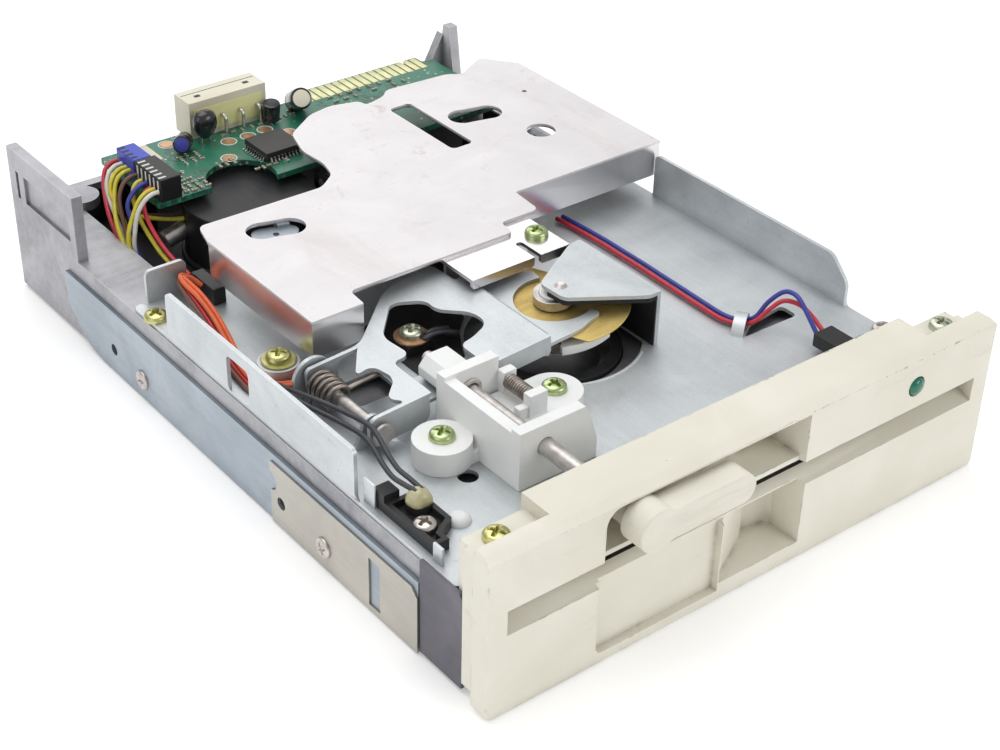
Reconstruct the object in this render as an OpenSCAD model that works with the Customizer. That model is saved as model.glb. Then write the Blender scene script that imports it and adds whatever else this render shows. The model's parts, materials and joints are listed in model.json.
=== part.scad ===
// Half-height disk drive for 133 mm flexible disks, shown without its top cover.
// Millimetres. X runs to the right seen from the front, Y runs to the rear, Z is up.
// Each piece is drawn with y = 0 on the bezel's front face and z = 0 on the rails' lower edge.
// place() then moves the whole drive over its origin, the middle of its lower face.

/* [Overall] */
// Width over the two side rails
drive_w = 146; // [144:0.5:149]
// Depth from the bezel's face to the rear edge of the casting
drive_d = 211; // [209:0.5:216]
// Height of the deck plate's upper face
deck_top = 25; // [24:0.25:26]
// Thickness of the pressed sheet steel
sheet_t = 1; // [0.8:0.1:1.2]
// Height of the circuit board's upper face
board_top = 33; // [32:0.25:34]
// Height of the shield's upper face
shield_top = 41; // [40.5:0.25:43]

/* [Bezel] */
// Width of the bezel
bezel_w = 149; // [148:0.5:156]
// Height of the bezel
bezel_h = 41.5; // [41:0.25:44]
// Thickness of the bezel's front plate
bezel_t = 5.2; // [4:0.1:6]
// Depth of the whole bezel
bezel_d = 13; // [12:0.25:13.5]
// Width of the disk slot
slot_w = 139; // [136:0.5:141]
// Height of the disk slot's lower edge
slot_low = 20.7; // [20:0.1:21]
// Height of the disk slot's upper edge
slot_high = 27; // [26.5:0.1:27.5]
// Radius of the indicator lamp
led_r = 2.5; // [1.5:0.1:3]

/* [Lever] */
// Distance of the lever's axis from the middle of the drive
lever_x = -35; // [-36:0.25:-34]
// Height of the lever's axis
lever_z = 34.2; // [34:0.1:34.4]
// Length of the lever's handle from its axis
lever_len = 27; // [22:0.5:28]
// Height of the lever's handle
lever_h = 7.5; // [5:0.25:8]
// Radius of the lever's knob
knob_r = 5.2; // [4:0.1:5.8]
// How far the lever stands out in front of the bezel
lever_out = 5.7; // [4:0.1:8]
// Radius of the thick front part of the lever shaft
shaft_r = 2.1; // [1.9:0.05:2.4]
// Radius of the thin rear part of the lever shaft
shaft_rear_r = 1.6; // [1.4:0.05:1.8]

/* [Clamp arm] */
// Angle by which the open arm stands above level
rest_tilt = 3.4; // [3:0.1:3.6]
// Angle by which the closed arm lies below level
closed_dip = 3.4; // [3.2:0.1:3.6]
// Height of the arm's plate when it is level
arm_top = 34; // [33.8:0.1:34.2]
// Radius of the arm's axle
axle_r = 1.6; // [1.2:0.1:1.9]
// Radius of the hub's pressing ring
hub_ring_r = 16; // [14:0.25:16.2]
// Radius of the hub's centring cone where it meets the ring
hub_cone_r = 13.8; // [12:0.2:14]

/* [Spindle] */
// Distance of the spindle axis behind the bezel's face
hub_y = 75; // [74.5:0.25:75.5]
// Distance of the spindle axis from the middle of the drive
hub_x = 3.5; // [3:0.25:4]
// Radius of the spindle's platter
platter_r = 17; // [16:0.25:18]
// Radius of the hole in the deck over the spindle
deck_hole_r = 21.7; // [19:0.25:22.5]

/* [Head carriage] */
// Travel of the heads from the outermost to the innermost track
head_travel = 20.6; // [18:0.2:21]
// Radius of the guide rods
rod_r = 2; // [1.5:0.1:2.4]
// Radius of the stepping motor's can
stepper_r = 18; // [15:0.5:18.5]
// Radius of the stepping motor's band pulley
pulley_r = 8.42; // [7:0.1:9]

/* [Fastening] */
// Distance between the mounting holes along the drive
mount_pitch = 79.25; // [78:0.25:81]
// Distance between the mounting holes across the lower face
mount_across = 139.7; // [139:0.1:140]
// Radius of a mounting thread's core
mount_r = 1.25; // [1.1:0.05:1.5]
// Radius of a screw's shank
screw_r = 1.4; // [1.1:0.05:1.5]
// Radius of a screw's head
screw_head_r = 3; // [2.6:0.1:3.4]

/* [Hidden] */
NODES = [
    "base_frame", "side_rail_left", "side_rail_right", "side_plates", "ground_leaf", "rail_screws",
    "deck_plate", "deck_screws", "silver_screws", "stop_rivet", "front_bezel", "bezel_screws", "lever",
    "lever_shaft",
    "lever_cam", "lever_bracket", "lever_spring", "bracket_screws", "clamp_arm", "arm_axle",
    "arm_spring", "clamp_hub", "hub_collar", "hub_leaf", "spindle", "spindle_bearing", "motor_rotor",
    "motor_stator", "shield_plate", "shield_bracket", "shield_screw", "circuit_board",
    "edge_contacts", "power_connector", "power_pins", "plug_header", "motor_plug", "chip",
    "capacitors", "small_parts", "stepper_motor", "stepper_pulley", "head_band", "head_carriage",
    "guide_rods", "rod_clamps", "upper_head_arm", "head_lower", "head_upper", "track_sensor",
    "sensor_housing", "sensor_glue", "index_sensor", "led", "led_plug", "led_leads",
    "sensor_leads", "harness_block", "board_harness"
];
node = "all";

// Shared values
cut = 0.5;
fit = 0.1;
play = 0.3;
run_fit = 0.05;
half_w = drive_w / 2;
front_out = lever_out;
y_mid = (drive_d - front_out) / 2;
deck_low = deck_top - sheet_t;
board_t = 1.6;
board_low = board_top - board_t;
shield_low = shield_top - sheet_t;
swing = rest_tilt + closed_dip;
fine = 64;
round_fn = 40;

// Base casting
casting_half_w = half_w - sheet_t;
side_x = -casting_half_w;
casting_front = 14;
casting_wall = 3;
casting_inner = casting_half_w - casting_wall;
platen_top = 21.5;
platen_t = 3;
platen_rear = 146;
bay_floor_low = 10;
bay_floor_t = 3;
bay_floor_top = bay_floor_low + bay_floor_t;
rim_w = 14.4;
rim_low = 17;
rear_wall_t = 3;
rear_wall_top = 25.5;
foot_low = 0.6;
boss_r = 3.4;
mount_front = 77.5;
mount_side_z = 7.2;
mount_depth = 5;
pan_wall = 2;
pan_low = 14.5;
pan_floor = 17.6;
bearing_boss_r = 9;
bearing_r = 6;
bearing_low = 10;
ear_t = 3;
ear_len = 36.5;
ear_front = drive_d - ear_len;
ear_top = 42.5;
ear_slot_inset = 5.5;
ear_slot_y = drive_d - ear_slot_inset;
ear_slot_w = 1.6;
ear_slot_low = 28.7;
ear_slot_h = 8;
ear_panel_depth = 0.8;
ear_right_len = 9;
ear_right_front = drive_d - ear_right_len;
ear_right_foot = 12;
post_r = 3;
post_insets = [13, 23, 35];
post_x = [-40, 30, 56];
post_places = [for (i = [0 : len(post_x) - 1]) [post_x[i], drive_d - post_insets[i]]];
shield_post_inset = 10;
shield_post = [casting_half_w - shield_post_inset, 160];
round_boss_inset = [16, 7.4];
round_boss = [side_x + round_boss_inset[0], drive_d - round_boss_inset[1]];
round_boss_r = 5;
round_boss_h = 2;
stem_slot_w = 15;
stem_slot_rear = 176;
head_slot_w = 16;
head_slot_front = 104;
stator_post_ring = 24.5;
stator_post_r = 2.5;

// Side rails, plates and the grounding leaf
rail_rear = 181;
rail_front = 25.2;
rail_top = 19;
rail_bevel_shares = [[1, 0.5], [0.944, 0.07], [0.902, 0]];
rail_right_top = 24;
plate_front = 10.3;
plate_rear = 24.8;
plate_top = 25.5;
leaf_front = 25;
leaf_rear = 81.7;
leaf_top = 17;
leaf_t = 0.5;
leaf_slot = [38.5, 4.2, 1.5, 13];
leaf_hole_r = 1.6;
leaf_notch = [79.2, 11.7, 2.6];
rail_screw_y = [60, 142.1];
rail_screw_z = 6;
rail_screw_head_r = 2.6;
rail_screw_head_h = 1;
screw_head_h = 2;
screw_len = 3;
cross_w_share = 0.28;
cross_len_share = 1.25;
cross_depth_share = 0.5;

// Deck plate
deck_front = 14;
deck_rear = 146;
deck_half_w = casting_half_w - play;
flange_top = 37.5;
flange_left = [50, 129];
flange_gap = [92, 9.5, 9.5];
flange_right = [42.5, 113.8];
flange_bevel = 6;
strap_top = 40.2;
strap_leg_x = 20.2;
strap_front = 57;
strap_rear = 87;
strap_corner_shares = [[1, 1], [0.83, 0.99], [0, 0.65], [0.02, 0.37], [0.83, 0], [1, 0]];
strap_reach = 21.2;
ear_y = [64, 87.5];
ear_w = 10.5;
ear_r = [2.6, 5.25];
front_post_inset = 6.3;
front_post_x = casting_half_w - front_post_inset;
front_post_y = 8.9;
front_tab_w = 9;
front_tab_front = 5.8;
axle_inset = 14.8;
axle_x = side_x + axle_inset;
axle_z = 30;
tab_inset = 3.8;
tab_w = 11.2;
tab_x = [side_x + tab_inset, side_x + tab_inset + tab_w];
tab_top = 34;
deck_hole = [-47.4, 42, 2.4];
bump_inset = 13.7;
deck_bump = [side_x + bump_inset, 30.9, 2.5];
deck_bump_h = 1.2;
bridge_at = [43, 50.8];
bridge_turn = -55;
bridge_span = 7.6;
bridge_w = 3;
bridge_h = 2.6;
bridge_hole_at = [40.4, 46.4];
bridge_hole = [18, 5.6];
bridge_hole_shares = [[0, 0.08], [1, 0], [1, 1], [0.33, 0.75]];
standoff_inset = 12.6;
standoff = [side_x + standoff_inset, 98.9];
standoff_r = 5;
standoff_h = 4.4;
deck_screw_inset = 2.1;
deck_screw_places = [[side_x + deck_screw_inset, 138], [-side_x - deck_screw_inset, 28.5]];
deck_screw_washer_r = 4.2;
washer_t = 0.7;
rivet = [3.3, 72.7];
rivet_r = 1.6;
rivet_h = 0.7;

// Bezel
bezel_round = 1.6;
bezel_back_low = 2.5;
bezel_ledge_z = 38;
bezel_mid_inset = [17.5, 17];
bezel_mid = [bezel_mid_inset[0] - half_w, half_w - bezel_mid_inset[1]];
bezel_mid_rear = 14;
bezel_mid_z = 30;
lip_h = 0.8;
bezel_chamfer = [3.2, 1.3];
bezel_wall = 2.4;
slot_flat = 0.4;
slot_ramp = 3.7;
slot_throat_low = 22.4;
recess = [-44.5, 13.5];
recess_z = 39.7;
recess_d = 11;
recess_round = 4;
pocket = [-45.5, -10.5];
pocket_low = 2.5;
pocket_d = 2;
pocket_round = 2;
notch_x = [-10.5, 14.2];
notch_floor = 4.5;
scoop_shares = [[0, 0], [0.04, 0.17], [0.62, 0.82], [0.7, 1], [0.94, 0.9], [1, 0.8], [1, 0]];
notch_d = 11.2;
led_x = 48.3;
led_z = 33.1;
led_body = 6;
led_out = 1;
led_tip_share = 0.7;

// Lever, shaft, cam and bracket
handle_back = 1;
knob_back = 1;
lever_boss_r = 3.6;
bracket_front = 31;
bracket_wall = 3;
bracket_rear = 60.7;
bracket_top = 40;
bracket_side = 39;
bracket_floor = 31;
bracket_left = 7.2;
bracket_rear_w = 15.2;
bracket_arm_w = 11;
bracket_face_shares = [[0, 0], [0, 1], [0.72, 1], [0.77, 0.86], [0.87, 0.35], [0.87, 0], [0.74, 0]];
bracket_face_w = 25.2;
bracket_boss = [[-48.3, 50.3], [-16.7, 50.3]];
bracket_boss_r = 6.8;
bracket_lug_w = 5;
cam_front = 62.3;
cam_rear = 70.5;
cam_r = 4.6;
cam_profile_shares = [
    [-0.62, -0.48], [0.2, -0.48], [0.57, -0.43], [0.91, -0.1], [1, 0.13], [0.95, 0.4], [0.65, 0.82],
    [-0.65, 0.82], [-1.1, 0.3], [-1.1, -0.2]
];
shaft_end = 74;
collar_w = 2;
cam_collar_r = 2.1;
spring_x = 9;
spring_y = [47.2, 57.3];
spring_z = 34.4;
spring_r = 1.6;
spring_wire = 0.32;
spring_turns = 6;

// Clamp arm, level
arm_front = 61;
arm_overhang = 5.1;
arm_reach = hub_x + arm_overhang - axle_x;
arm_depth = 43;
step_to_hub = 12.3;
arm_step_x = hub_x - axle_x - step_to_hub;
arm_step_h = 2;
arm_outline_shares = [
    [0.14, 0], [0.078, 0.1], [0.17, 0.23], [0.149, 0.4], [0.07, 0.37], [0.165, 0.565], [0.451, 0.942],
    [0.687, 1],
    [0.695, 0.77], [0.769, 0.81], [0.845, 0.755], [0.845, 0.66], [0.982, 0.635], [0.972, 0.565],
    [0.985, 0.105], [0.995, 0.05], [0.93, 0.03], [0.88, 0]
];
arm_window_shares = [
    [0.426, 0.823], [0.533, 0.714], [0.524, 0.61], [0.618, 0.453], [0.614, 0.319], [0.521, 0.26],
    [0.3, 0.225], [0.278, 0.58]
];
arm_notch_r = 9.8;
cam_room = 8;
arm_cam_gap = [lever_x - axle_x - cam_room, lever_x - axle_x + cam_room];
arm_cam_gap_d = 15;
arm_flange_left = 13.6;
arm_flange_left_h = 7.5;
arm_flange_right = [arm_cam_gap[1] + sheet_t, arm_step_x];
arm_flange_right_h = 4.8;
arm_bearing_y = ear_y[1] - 2 * sheet_t + play;
arm_left_end = -2.8;
arm_hole = [5.4, 77.4, 12, 10.4];
arm_tongue_y = 63;
tongue_drop = 3.5;
tongue_d = 9;
cam_reach = 5.4;
tongue_reach = lever_x - axle_x + cam_reach;
axle_front = 60;
axle_rear = 90;
axle_head_r = 2.6;
axle_head_h = 0.8;
coil_y = [76.6, 84.6];
coil_r = 3.2;
coil_wire = 0.55;
coil_turns = 4.375;
coil_start = 45;
coil_leg = 14;
wire_steps = 8;

// Hub, closed
hub_ring_low = 23;
hub_ring_h = 2.4;
hub_body_r = 9;
hub_body_h = 0.8;
hub_neck_r = 3.4;
hub_neck_top = 30.8;
hub_cone_low_r = 11.5;
hub_cone_h = 2.8;
collar_low = 27.9;
collar_h = 2.5;
collar_r = 5;
leaf_sheet = 0.4;
leaf_r = 18.5;
leaf_half = 11;
leaf_turn = -67;

// Spindle and its motor
platter_top = 22.7;
platter_t = 4;
cup_depth = 3.2;
spindle_r = 3;
spindle_low = 4.6;
bearing_top = 17.4;
rotor_r = 25;
rotor_h = 4;
rotor_hub_r = 6;
stator_z = 10.4;
stator_half = 21;
coil_n = 6;
coil_ring = 14.6;
coil_out = 4.8;
coil_in = 2.4;
coil_h = 1.3;

// Shield and its bracket
shield_shares = [
    [1, 0.899], [1, 0.236], [0.605, 0.236], [0.598, 0.124], [0.502, 0.124], [0.502, 0.066],
    [0.365, 0.066], [0.117, 0.069], [0.113, 0], [0, 0], [0, 0.5], [0.015, 0.578], [0.3, 0.572],
    [0.347, 0.62], [0.36, 0.69], [0.355, 0.785], [0.379, 0.894], [0.462, 0.97], [0.52, 0.985],
    [0.587, 0.962], [0.588, 0.928], [0.645, 0.947], [0.667, 0.978], [0.828, 0.963], [0.856, 0.936],
    [0.941, 1]
];
shield_inset = [18.1, 0.4];
shield_left = side_x + shield_inset[0];
shield_right = half_w - shield_inset[1];
shield_front = 92.6;
shield_rear = 185.2;
shield_fold = 10;
shield_hole = [50.3, 138.1, 4];
shield_oblong = [[-40.4, 135.2], [-33.8, 133.3]];
shield_oblong_r = 4.2;
oblong_side_share = 0.98;
shield_oval = [[38, 157.2], [45.3, 155.5]];
shield_oval_r = 4.1;
shield_slot = [24, 143, 7, 29.6];
bracket_plate = [-12, 18];
bracket_plate_y = [87, 104];
bracket_slit = [7, 2];
bracket_slit_d = 8;
bracket_lip = 1.6;
bracket_leg_x = [-8, 18];
shield_screw_at = [14.2, 95.4];

// Circuit board
board_insets = [24.5, 8];
board_left = side_x + board_insets[0];
board_right = casting_half_w - board_insets[1];
board_inset = 4;
board_rear = drive_d - board_inset;
board_step = 4;
board_notch_r = 9.5;
board_d = 36;
board_front = board_rear - board_d;
tongue_inset = 0.2;
tongue = [16.5, 44, drive_d - tongue_inset];
tongue_key = [5.6, 2];
contact_n = 17;
contact_pitch = 2.54;
contact_w = 1.6;
contact_t = 0.08;
contact_len = 7;
power_x = [-22, 2.5];
power_insets = [9, 0.8];
power_y = [drive_d - power_insets[0], drive_d - power_insets[1]];
power_h = 10.8;
power_wall = 1.2;
pin_n = 4;
pin_pitch = 5.08;
pin_r = 1.05;
header = [0.9, -17.8, 5.4, 9.4, 6.4];
plug8 = [0.9, -32.1, 6.2, 13.8, 6.6];
chip_at = [40.9, -23];
chip_w = 11.5;
chip_h = 2.4;
chip_legs = 7;
chip_leg = [0.5, 1.2, 0.8];
cap_dome = [31.9, -13.4, 4, 7.5];
cap_can = [61.2, -7.6, 4, 9];
trimmer = [18.5, -16, 3, 4.5];
chip_part = [2.6, 1.4, 0.9];
chip_part_places = [
    [46.5, -9], [50.5, -12.5], [55.5, -17], [27.5, -23.6], [21.5, -9], [57.5, -22.6], [69.5, -14],
    [77.5, -11]
];

// Stepping motor, carriage and heads
stepper_x = -22;
stepper_y = 172;
stepper_top = 29.4;
stepper_flange = 19;
stepper_flange_t = 1.2;
pulley_h = 4.2;
pulley_low = 5;
pulley_shaft_r = 2.5;
band_t = 0.3;
band_w = 3.4;
band_rear = 193;
band_foot = 4;
band_x = stepper_x + pulley_r + band_t + play;
hinge_wall = 1.4;
rod_x = 16;
rod_z = 12;
rod_front = 97;
rod_rear = 150;
clamp_w = 5;
clamp_h = 2.2;
carriage_front = 124;
carriage_len = 22;
carriage_half_w = 19.5;
carriage_low = 9;
carriage_h = 7.4;
stem_half_w = 5;
stem_rear = 172;
stem_block = 7;
stem_top = 26;
hinge_y = 168.5;
hinge_z = 27.6;
hinge_r = 1.3;
track_zero = 57;
head_r = 3.2;
head_top = 22.3;
head_gap = 0.7;
arm_lift = 2.5;
lift_arm_t = 2.6;
lift_arm_front = 126;
sensor_block = [25, 133, 6, 9];
sensor_block_h = 5;

// Sensor housing in front and the index sensor beside the hub
housing_inset = 2.4;
housing_w = 8.6;
housing_x = [side_x + housing_inset, side_x + housing_inset + housing_w];
housing_y = [24.4, 46];
housing_rim_h = 2.8;
housing_post_h = 4.6;
housing_post_w = 4;
housing_post_y = housing_y[1] - housing_post_w;
housing_neck_x = housing_x[0] + housing_post_w;
housing_step_y = [27, 29.8];
housing_wall = 1.2;
housing_screw_y = 31.6;
housing_screw_head_r = 2.4;
housing_screw = [housing_x[0] + housing_wall + housing_screw_head_r + play, housing_screw_y];
glue_r = 2.6;
glue_at = [housing_x[1] - glue_r, 37.9];
glue_taper = 0.6;
cup_h = 3.2;
glue_h = 2.2;
index_at = [-27.4, 90.6];
index_r = 3.6;
index_h = 3;

// Lamp plug, leads and harnesses
plug_x = [49, 55.2];
plug_y = [20.4, 32.6];
plug_z = [26.8, 30.4];
socket_x = [45.4, 52.4];
socket_front = 14.3;
socket_top = 35.4;
lead_r = 0.6;
lead_sides = 8;
lead_dir_share = [0.1, 0.05, 1];
led_lead_a = [
    [40, 118, 26], [40.6, 110, 26], [41, 102, 26], [41, 94, 26], [41, 86, 26], [40.8, 78, 26],
    [40.6, 70, 26], [40.5, 62, 26], [40.6, 56, 26], [41.4, 53, 26], [43, 50.6, 26], [45, 48, 27.4],
    [48, 46, 31], [50.5, 44.4, 33], [52.8, 41.2, 32.6], [53.8, 37.6, 30.6], [53.2, 33, 28.8]
];
led_lead_b = [
    [42, 118, 26], [42.6, 110, 26], [43, 102, 26], [43, 94, 26], [43, 86, 26], [42.8, 78, 26],
    [42.6, 70, 26], [42.4, 62, 26], [42.4, 57, 26], [43, 54, 26], [44.6, 51.6, 26], [46.6, 49.4, 27.4],
    [49, 48, 31.4], [51.4, 45.6, 34.6], [52, 42.4, 35.2], [51.6, 39, 33.8], [51, 33, 28.8]
];
sensor_lead_a = [
    [-64.3, 37.6, 31.05], [-64.6, 39.4, 31.1], [-65.2, 41.6, 31.3], [-65.8, 44.4, 31.7],
    [-65.6, 48.4, 32.8], [-64.8, 53, 34], [-64.4, 58, 34.2], [-65, 66, 33.4], [-66, 76, 32],
    [-66, 86, 30], [-65, 94, 27]
];
sensor_lead_b = [
    [-62.9, 37.6, 31.05], [-63, 39.4, 31.3], [-63.4, 41.8, 31.9], [-64, 44.8, 32.7], [-63.6, 49.2, 34],
    [-62.8, 53.4, 35.2], [-62.2, 58, 35.6], [-63, 66, 34.8], [-64, 76, 33], [-64, 86, 30], [-63, 94, 26.8]
];
block_inset = 16.4;
block = [side_x + block_inset, 134.4, 3.5, 11, 4.6];
harness_a = [
    [-47.2, 184, 36], [-49, 184, 35.6], [-50.6, 183, 34], [-51.4, 181, 31], [-51.6, 178, 28],
    [-51.4, 174, 25], [-51, 169, 22], [-50.4, 163, 20]
];
harness_b = [
    [-47.2, 179, 36], [-49, 179, 35.4], [-50.4, 178, 33.4], [-51, 176, 30.4], [-51, 173, 27.4],
    [-50.6, 169, 24.4], [-50, 164, 22], [-49.2, 158, 20.4]
];

// True when a piece is to be drawn
function shown(name) = node == "all" || node == name;

// Moves a piece from the bezel's frame to the drive's own origin
module place() { translate([0, -y_mid, 0]) children(); }

// A block between two corners
module block_at(a, b) { translate(a) cube(b - a); }

// A cylinder along Y from y0 to y1
module rod_y(x, z, r, y0, y1) {
    translate([x, y1, z]) rotate([90, 0, 0]) disc(y1 - y0, r);
}

// A cylinder along X from x0 to x1
module rod_x(y, z, r, x0, x1) {
    translate([x0, y, z]) rotate([0, 90, 0]) stud(x1 - x0, r);
}

// A rectangle with round corners, made of exact squares and circles
module soft_rect(w, h, r) {
    translate([r, 0]) square([w - 2 * r, h]);
    translate([0, r]) square([w, h - 2 * r]);
    for (x = [r, w - r], y = [r, h - r]) translate([x, y]) circle(r = r, $fn = round_fn);
}

// A plate in the XZ plane between y0 and y1, drawn as its front view
module front_plate(y0, y1) {
    translate([0, y1, 0]) rotate([90, 0, 0]) linear_extrude(height = y1 - y0) children();
}

// A plate in the YZ plane between x0 and x1, drawn with y across and z up
module side_plate(x0, x1) {
    translate([x0, 0, 0]) rotate([90, 0, 90]) linear_extrude(height = x1 - x0) children();
}

// A flat plate between z0 and z1
module flat_plate(z0, z1) { translate([0, 0, z0]) linear_extrude(height = z1 - z0) children(); }

// Outline points from shares of a width and a depth
function spread(shares, w, d) = [for (p = shares) [p[0] * w, p[1] * d]];

// Upright cylinders, smooth and plain
module disc(h, r) { cylinder(h = h, r = r, $fn = fine); }
module stud(h, r) { cylinder(h = h, r = r, $fn = round_fn); }

// Hole for a screw's shank from z = 0 up to a height
module screw_hole(at, top) {
    translate([at[0], at[1], 0]) stud(top, screw_r + fit);
}

// Two leads side by side
module lead_pair(a, b) {
    tube(a, lead_r, lead_sides, lead_dir_share);
    tube(b, lead_r, lead_sides, lead_dir_share);
}

// A cross-recess screw standing on z = 0 with its shank going down
module screw(head_r = screw_head_r, head_h = screw_head_h, shank = screw_len) {
    difference() {
        union() {
            stud(head_h * 0.6, head_r);
            translate([0, 0, head_h * 0.6])
                cylinder(h = head_h * 0.4, r1 = head_r, r2 = head_r * 0.72, $fn = round_fn);
        }
        for (a = [0, 90]) rotate(a)
            translate([-head_r * cross_len_share / 2, -head_r * cross_w_share / 2,
                       head_h * (1 - cross_depth_share)])
            cube([head_r * cross_len_share, head_r * cross_w_share, head_h]);
    }
    translate([0, 0, -shank]) stud(shank, screw_r);
}

// A screw lying along X with its head towards the side given by s
module side_screw(x, y, z, s) {
    translate([x, y, z]) rotate([0, s * 90, 0])
        screw(rail_screw_head_r, rail_screw_head_h, screw_len);
}

// Unit vector, and one ring of a tube round a point
function unit(v) = v / norm(v);
function ring(p, t, ref, r, n) =
    let (u = unit(cross(ref, t)), v = cross(unit(t), u))
    [for (k = [0 : n - 1]) p + r * (cos(360 * k / n) * u + sin(360 * k / n) * v)];

// A round tube swept along a list of points, flat at both ends
module tube(path, r, sides, ref) {
    n = len(path);
    rings = [for (i = [0 : n - 1])
        each ring(path[i], path[min(i + 1, n - 1)] - path[max(i - 1, 0)], ref, r, sides)];
    walls = [for (i = [0 : n - 2], k = [0 : sides - 1], h = [0, 1])
        let (a = i * sides + k, b = i * sides + (k + 1) % sides)
        h == 0 ? [a, b, a + sides] : [b, b + sides, a + sides]];
    caps = [for (k = [1 : sides - 2], e = [0, 1])
        e == 0 ? [0, k + 1, k] : [(n - 1) * sides, (n - 1) * sides + k, (n - 1) * sides + k + 1]];
    polyhedron(points = rings, faces = concat(walls, caps));
}

// Points of a helix along Y
function helix_y(x, z, r, y0, y1, turns, steps, a0) =
    [for (i = [0 : turns * steps])
        let (a = a0 + 360 * i / steps)
        [x + r * cos(a), y0 + (y1 - y0) * i / (turns * steps), z + r * sin(a)]];

// Least gap between points of a wire that lie half a turn or more apart along it
function least_gap(path, r) =
    let (last = len(path) - 1)
    min([for (i = [0 : last], j = [i + wire_steps / 2 : 1 : last]) norm(path[i] - path[j])]) - 2 * r;

// The arm's two poses: level to open, and closed to open
module about_axle(angle) {
    translate([axle_x, 0, axle_z]) rotate([0, -angle, 0]) translate([-axle_x, 0, -axle_z]) children();
}

// Base casting with its platen, rear bay, ears and posts
module base_frame() {
    color("lightslategray") place() difference() {
        union() {
            for (s = [-1, 1]) {
                block_at([min(s * casting_half_w, s * casting_inner), casting_front, foot_low],
                         [max(s * casting_half_w, s * casting_inner), drive_d, deck_low]);
                for (y = [mount_front, mount_front + mount_pitch])
                    intersection() {
                        translate([s * mount_across / 2, y, foot_low])
                            stud(platen_top - platen_t - foot_low, boss_r);
                        block_at([-casting_half_w, 0, 0], [casting_half_w, drive_d, deck_low]);
                    }
            }
            block_at([-casting_inner - cut, casting_front, platen_top - platen_t],
                     [casting_inner + cut, platen_rear, platen_top]);
            block_at([-casting_inner - cut, platen_rear - casting_wall, bay_floor_low],
                     [casting_inner + cut, platen_rear, platen_top]);
            block_at([-casting_inner - cut, platen_rear - casting_wall, bay_floor_low],
                     [casting_inner + cut, drive_d, bay_floor_top]);
            block_at([-casting_half_w, drive_d - rear_wall_t, foot_low],
                     [casting_half_w, drive_d, rear_wall_top]);
            block_at([-casting_half_w, platen_rear, rim_low],
                     [-casting_half_w + rim_w, drive_d, deck_low]);
            translate([hub_x, hub_y, pan_low])
                disc(platen_top - pan_low, platter_r + play + pan_wall);
            translate([hub_x, hub_y, bearing_low])
                disc(pan_floor - bearing_low, bearing_boss_r);
            for (a = [45 : 90 : 315]) translate([hub_x, hub_y, 0]) rotate(a)
                translate([stator_post_ring, 0, stator_z + board_t])
                cylinder(h = platen_top - platen_t / 2 - stator_z - board_t, r = stator_post_r,
                    $fn = round_fn);
            for (p = post_places) translate([p[0], p[1], bay_floor_low])
                stud(board_low - bay_floor_low, post_r);
            translate([shield_post[0], shield_post[1], bay_floor_low])
                stud(shield_low - bay_floor_low, post_r);
            translate([round_boss[0], round_boss[1], deck_low - rear_wall_t])
                stud(rear_wall_t + round_boss_h, round_boss_r);
            left_ear();
            right_ear();
        }
        translate([hub_x, hub_y, pan_floor])
            disc(deck_top, platter_r + play);
        translate([hub_x, hub_y, 0]) disc(deck_top, bearing_r);
        block_at([hub_x - head_slot_w / 2, head_slot_front, platen_top - platen_t - cut],
                 [hub_x + head_slot_w / 2, platen_rear + cut, deck_top]);
        block_at([hub_x - stem_slot_w / 2, platen_rear - casting_wall - cut, 0],
                 [hub_x + stem_slot_w / 2, stem_slot_rear, deck_top]);
        carriage_room();
        for (s = [-1, 1])
            rod_y(hub_x + s * rod_x, rod_z, rod_r + fit, platen_rear - cut, rod_rear + play);
        translate([stepper_x, stepper_y, 0])
            disc(deck_top, pulley_r + 2 * play + band_t);
        for (s = [-1, 1], y = [mount_front, mount_front + mount_pitch]) {
            translate([s * mount_across / 2, y, 0])
                stud(mount_depth + foot_low, mount_r);
            if (s > 0) rod_x(y, mount_side_z, mount_r, casting_half_w - mount_depth, casting_half_w + cut);
            else rod_x(y, mount_side_z, mount_r, -casting_half_w - cut, -casting_half_w + mount_depth);
        }
        for (s = [-1, 1], y = rail_screw_y)
            rod_x(y, rail_screw_z, screw_r + fit, s * casting_half_w - screw_len,
                s * casting_half_w + screw_len);
        for (p = deck_screw_places) translate([p[0], p[1], deck_low - screw_len])
            stud(screw_len + cut, screw_r + fit);
    }
}

// Left rear ear with sunk panels and a slot
module left_ear() {
    difference() {
        side_plate(-casting_half_w, -casting_half_w + ear_t) {
            polygon([[ear_front, deck_low - sheet_t], [ear_front, ear_top], [drive_d, ear_top],
                     [drive_d, deck_low - sheet_t]]);
        }
        block_at([-casting_half_w - cut, ear_front + ear_t, ear_slot_low],
                 [-casting_half_w + ear_panel_depth, ear_slot_y - ear_t, ear_slot_low + ear_slot_h]);
        block_at([-casting_half_w - cut, ear_slot_y, ear_slot_low],
                 [-casting_half_w + ear_t + cut, ear_slot_y + ear_slot_w, ear_slot_low + ear_slot_h]);
    }
}

// Right rear ear with its slanted gusset
module right_ear() {
    side_plate(casting_half_w - ear_t, casting_half_w)
        polygon([[ear_right_front, deck_low - sheet_t], [ear_right_front + ear_t, ear_top],
                 [drive_d - ear_t, ear_top], [drive_d, deck_low - sheet_t]]);
    front_plate(drive_d - rear_wall_t, drive_d)
        polygon([[casting_half_w, deck_low - sheet_t], [casting_half_w - ear_t, ear_top - ear_t],
                 [casting_half_w - ear_right_foot, deck_low - sheet_t]]);
}

// Space in the casting for the carriage and its rods at full travel
module carriage_room() {
    block_at([hub_x - carriage_half_w - play, carriage_front - head_travel - play, carriage_low - play],
             [hub_x + carriage_half_w + play, carriage_front + carriage_len + play, platen_top - platen_t]);
}

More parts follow.
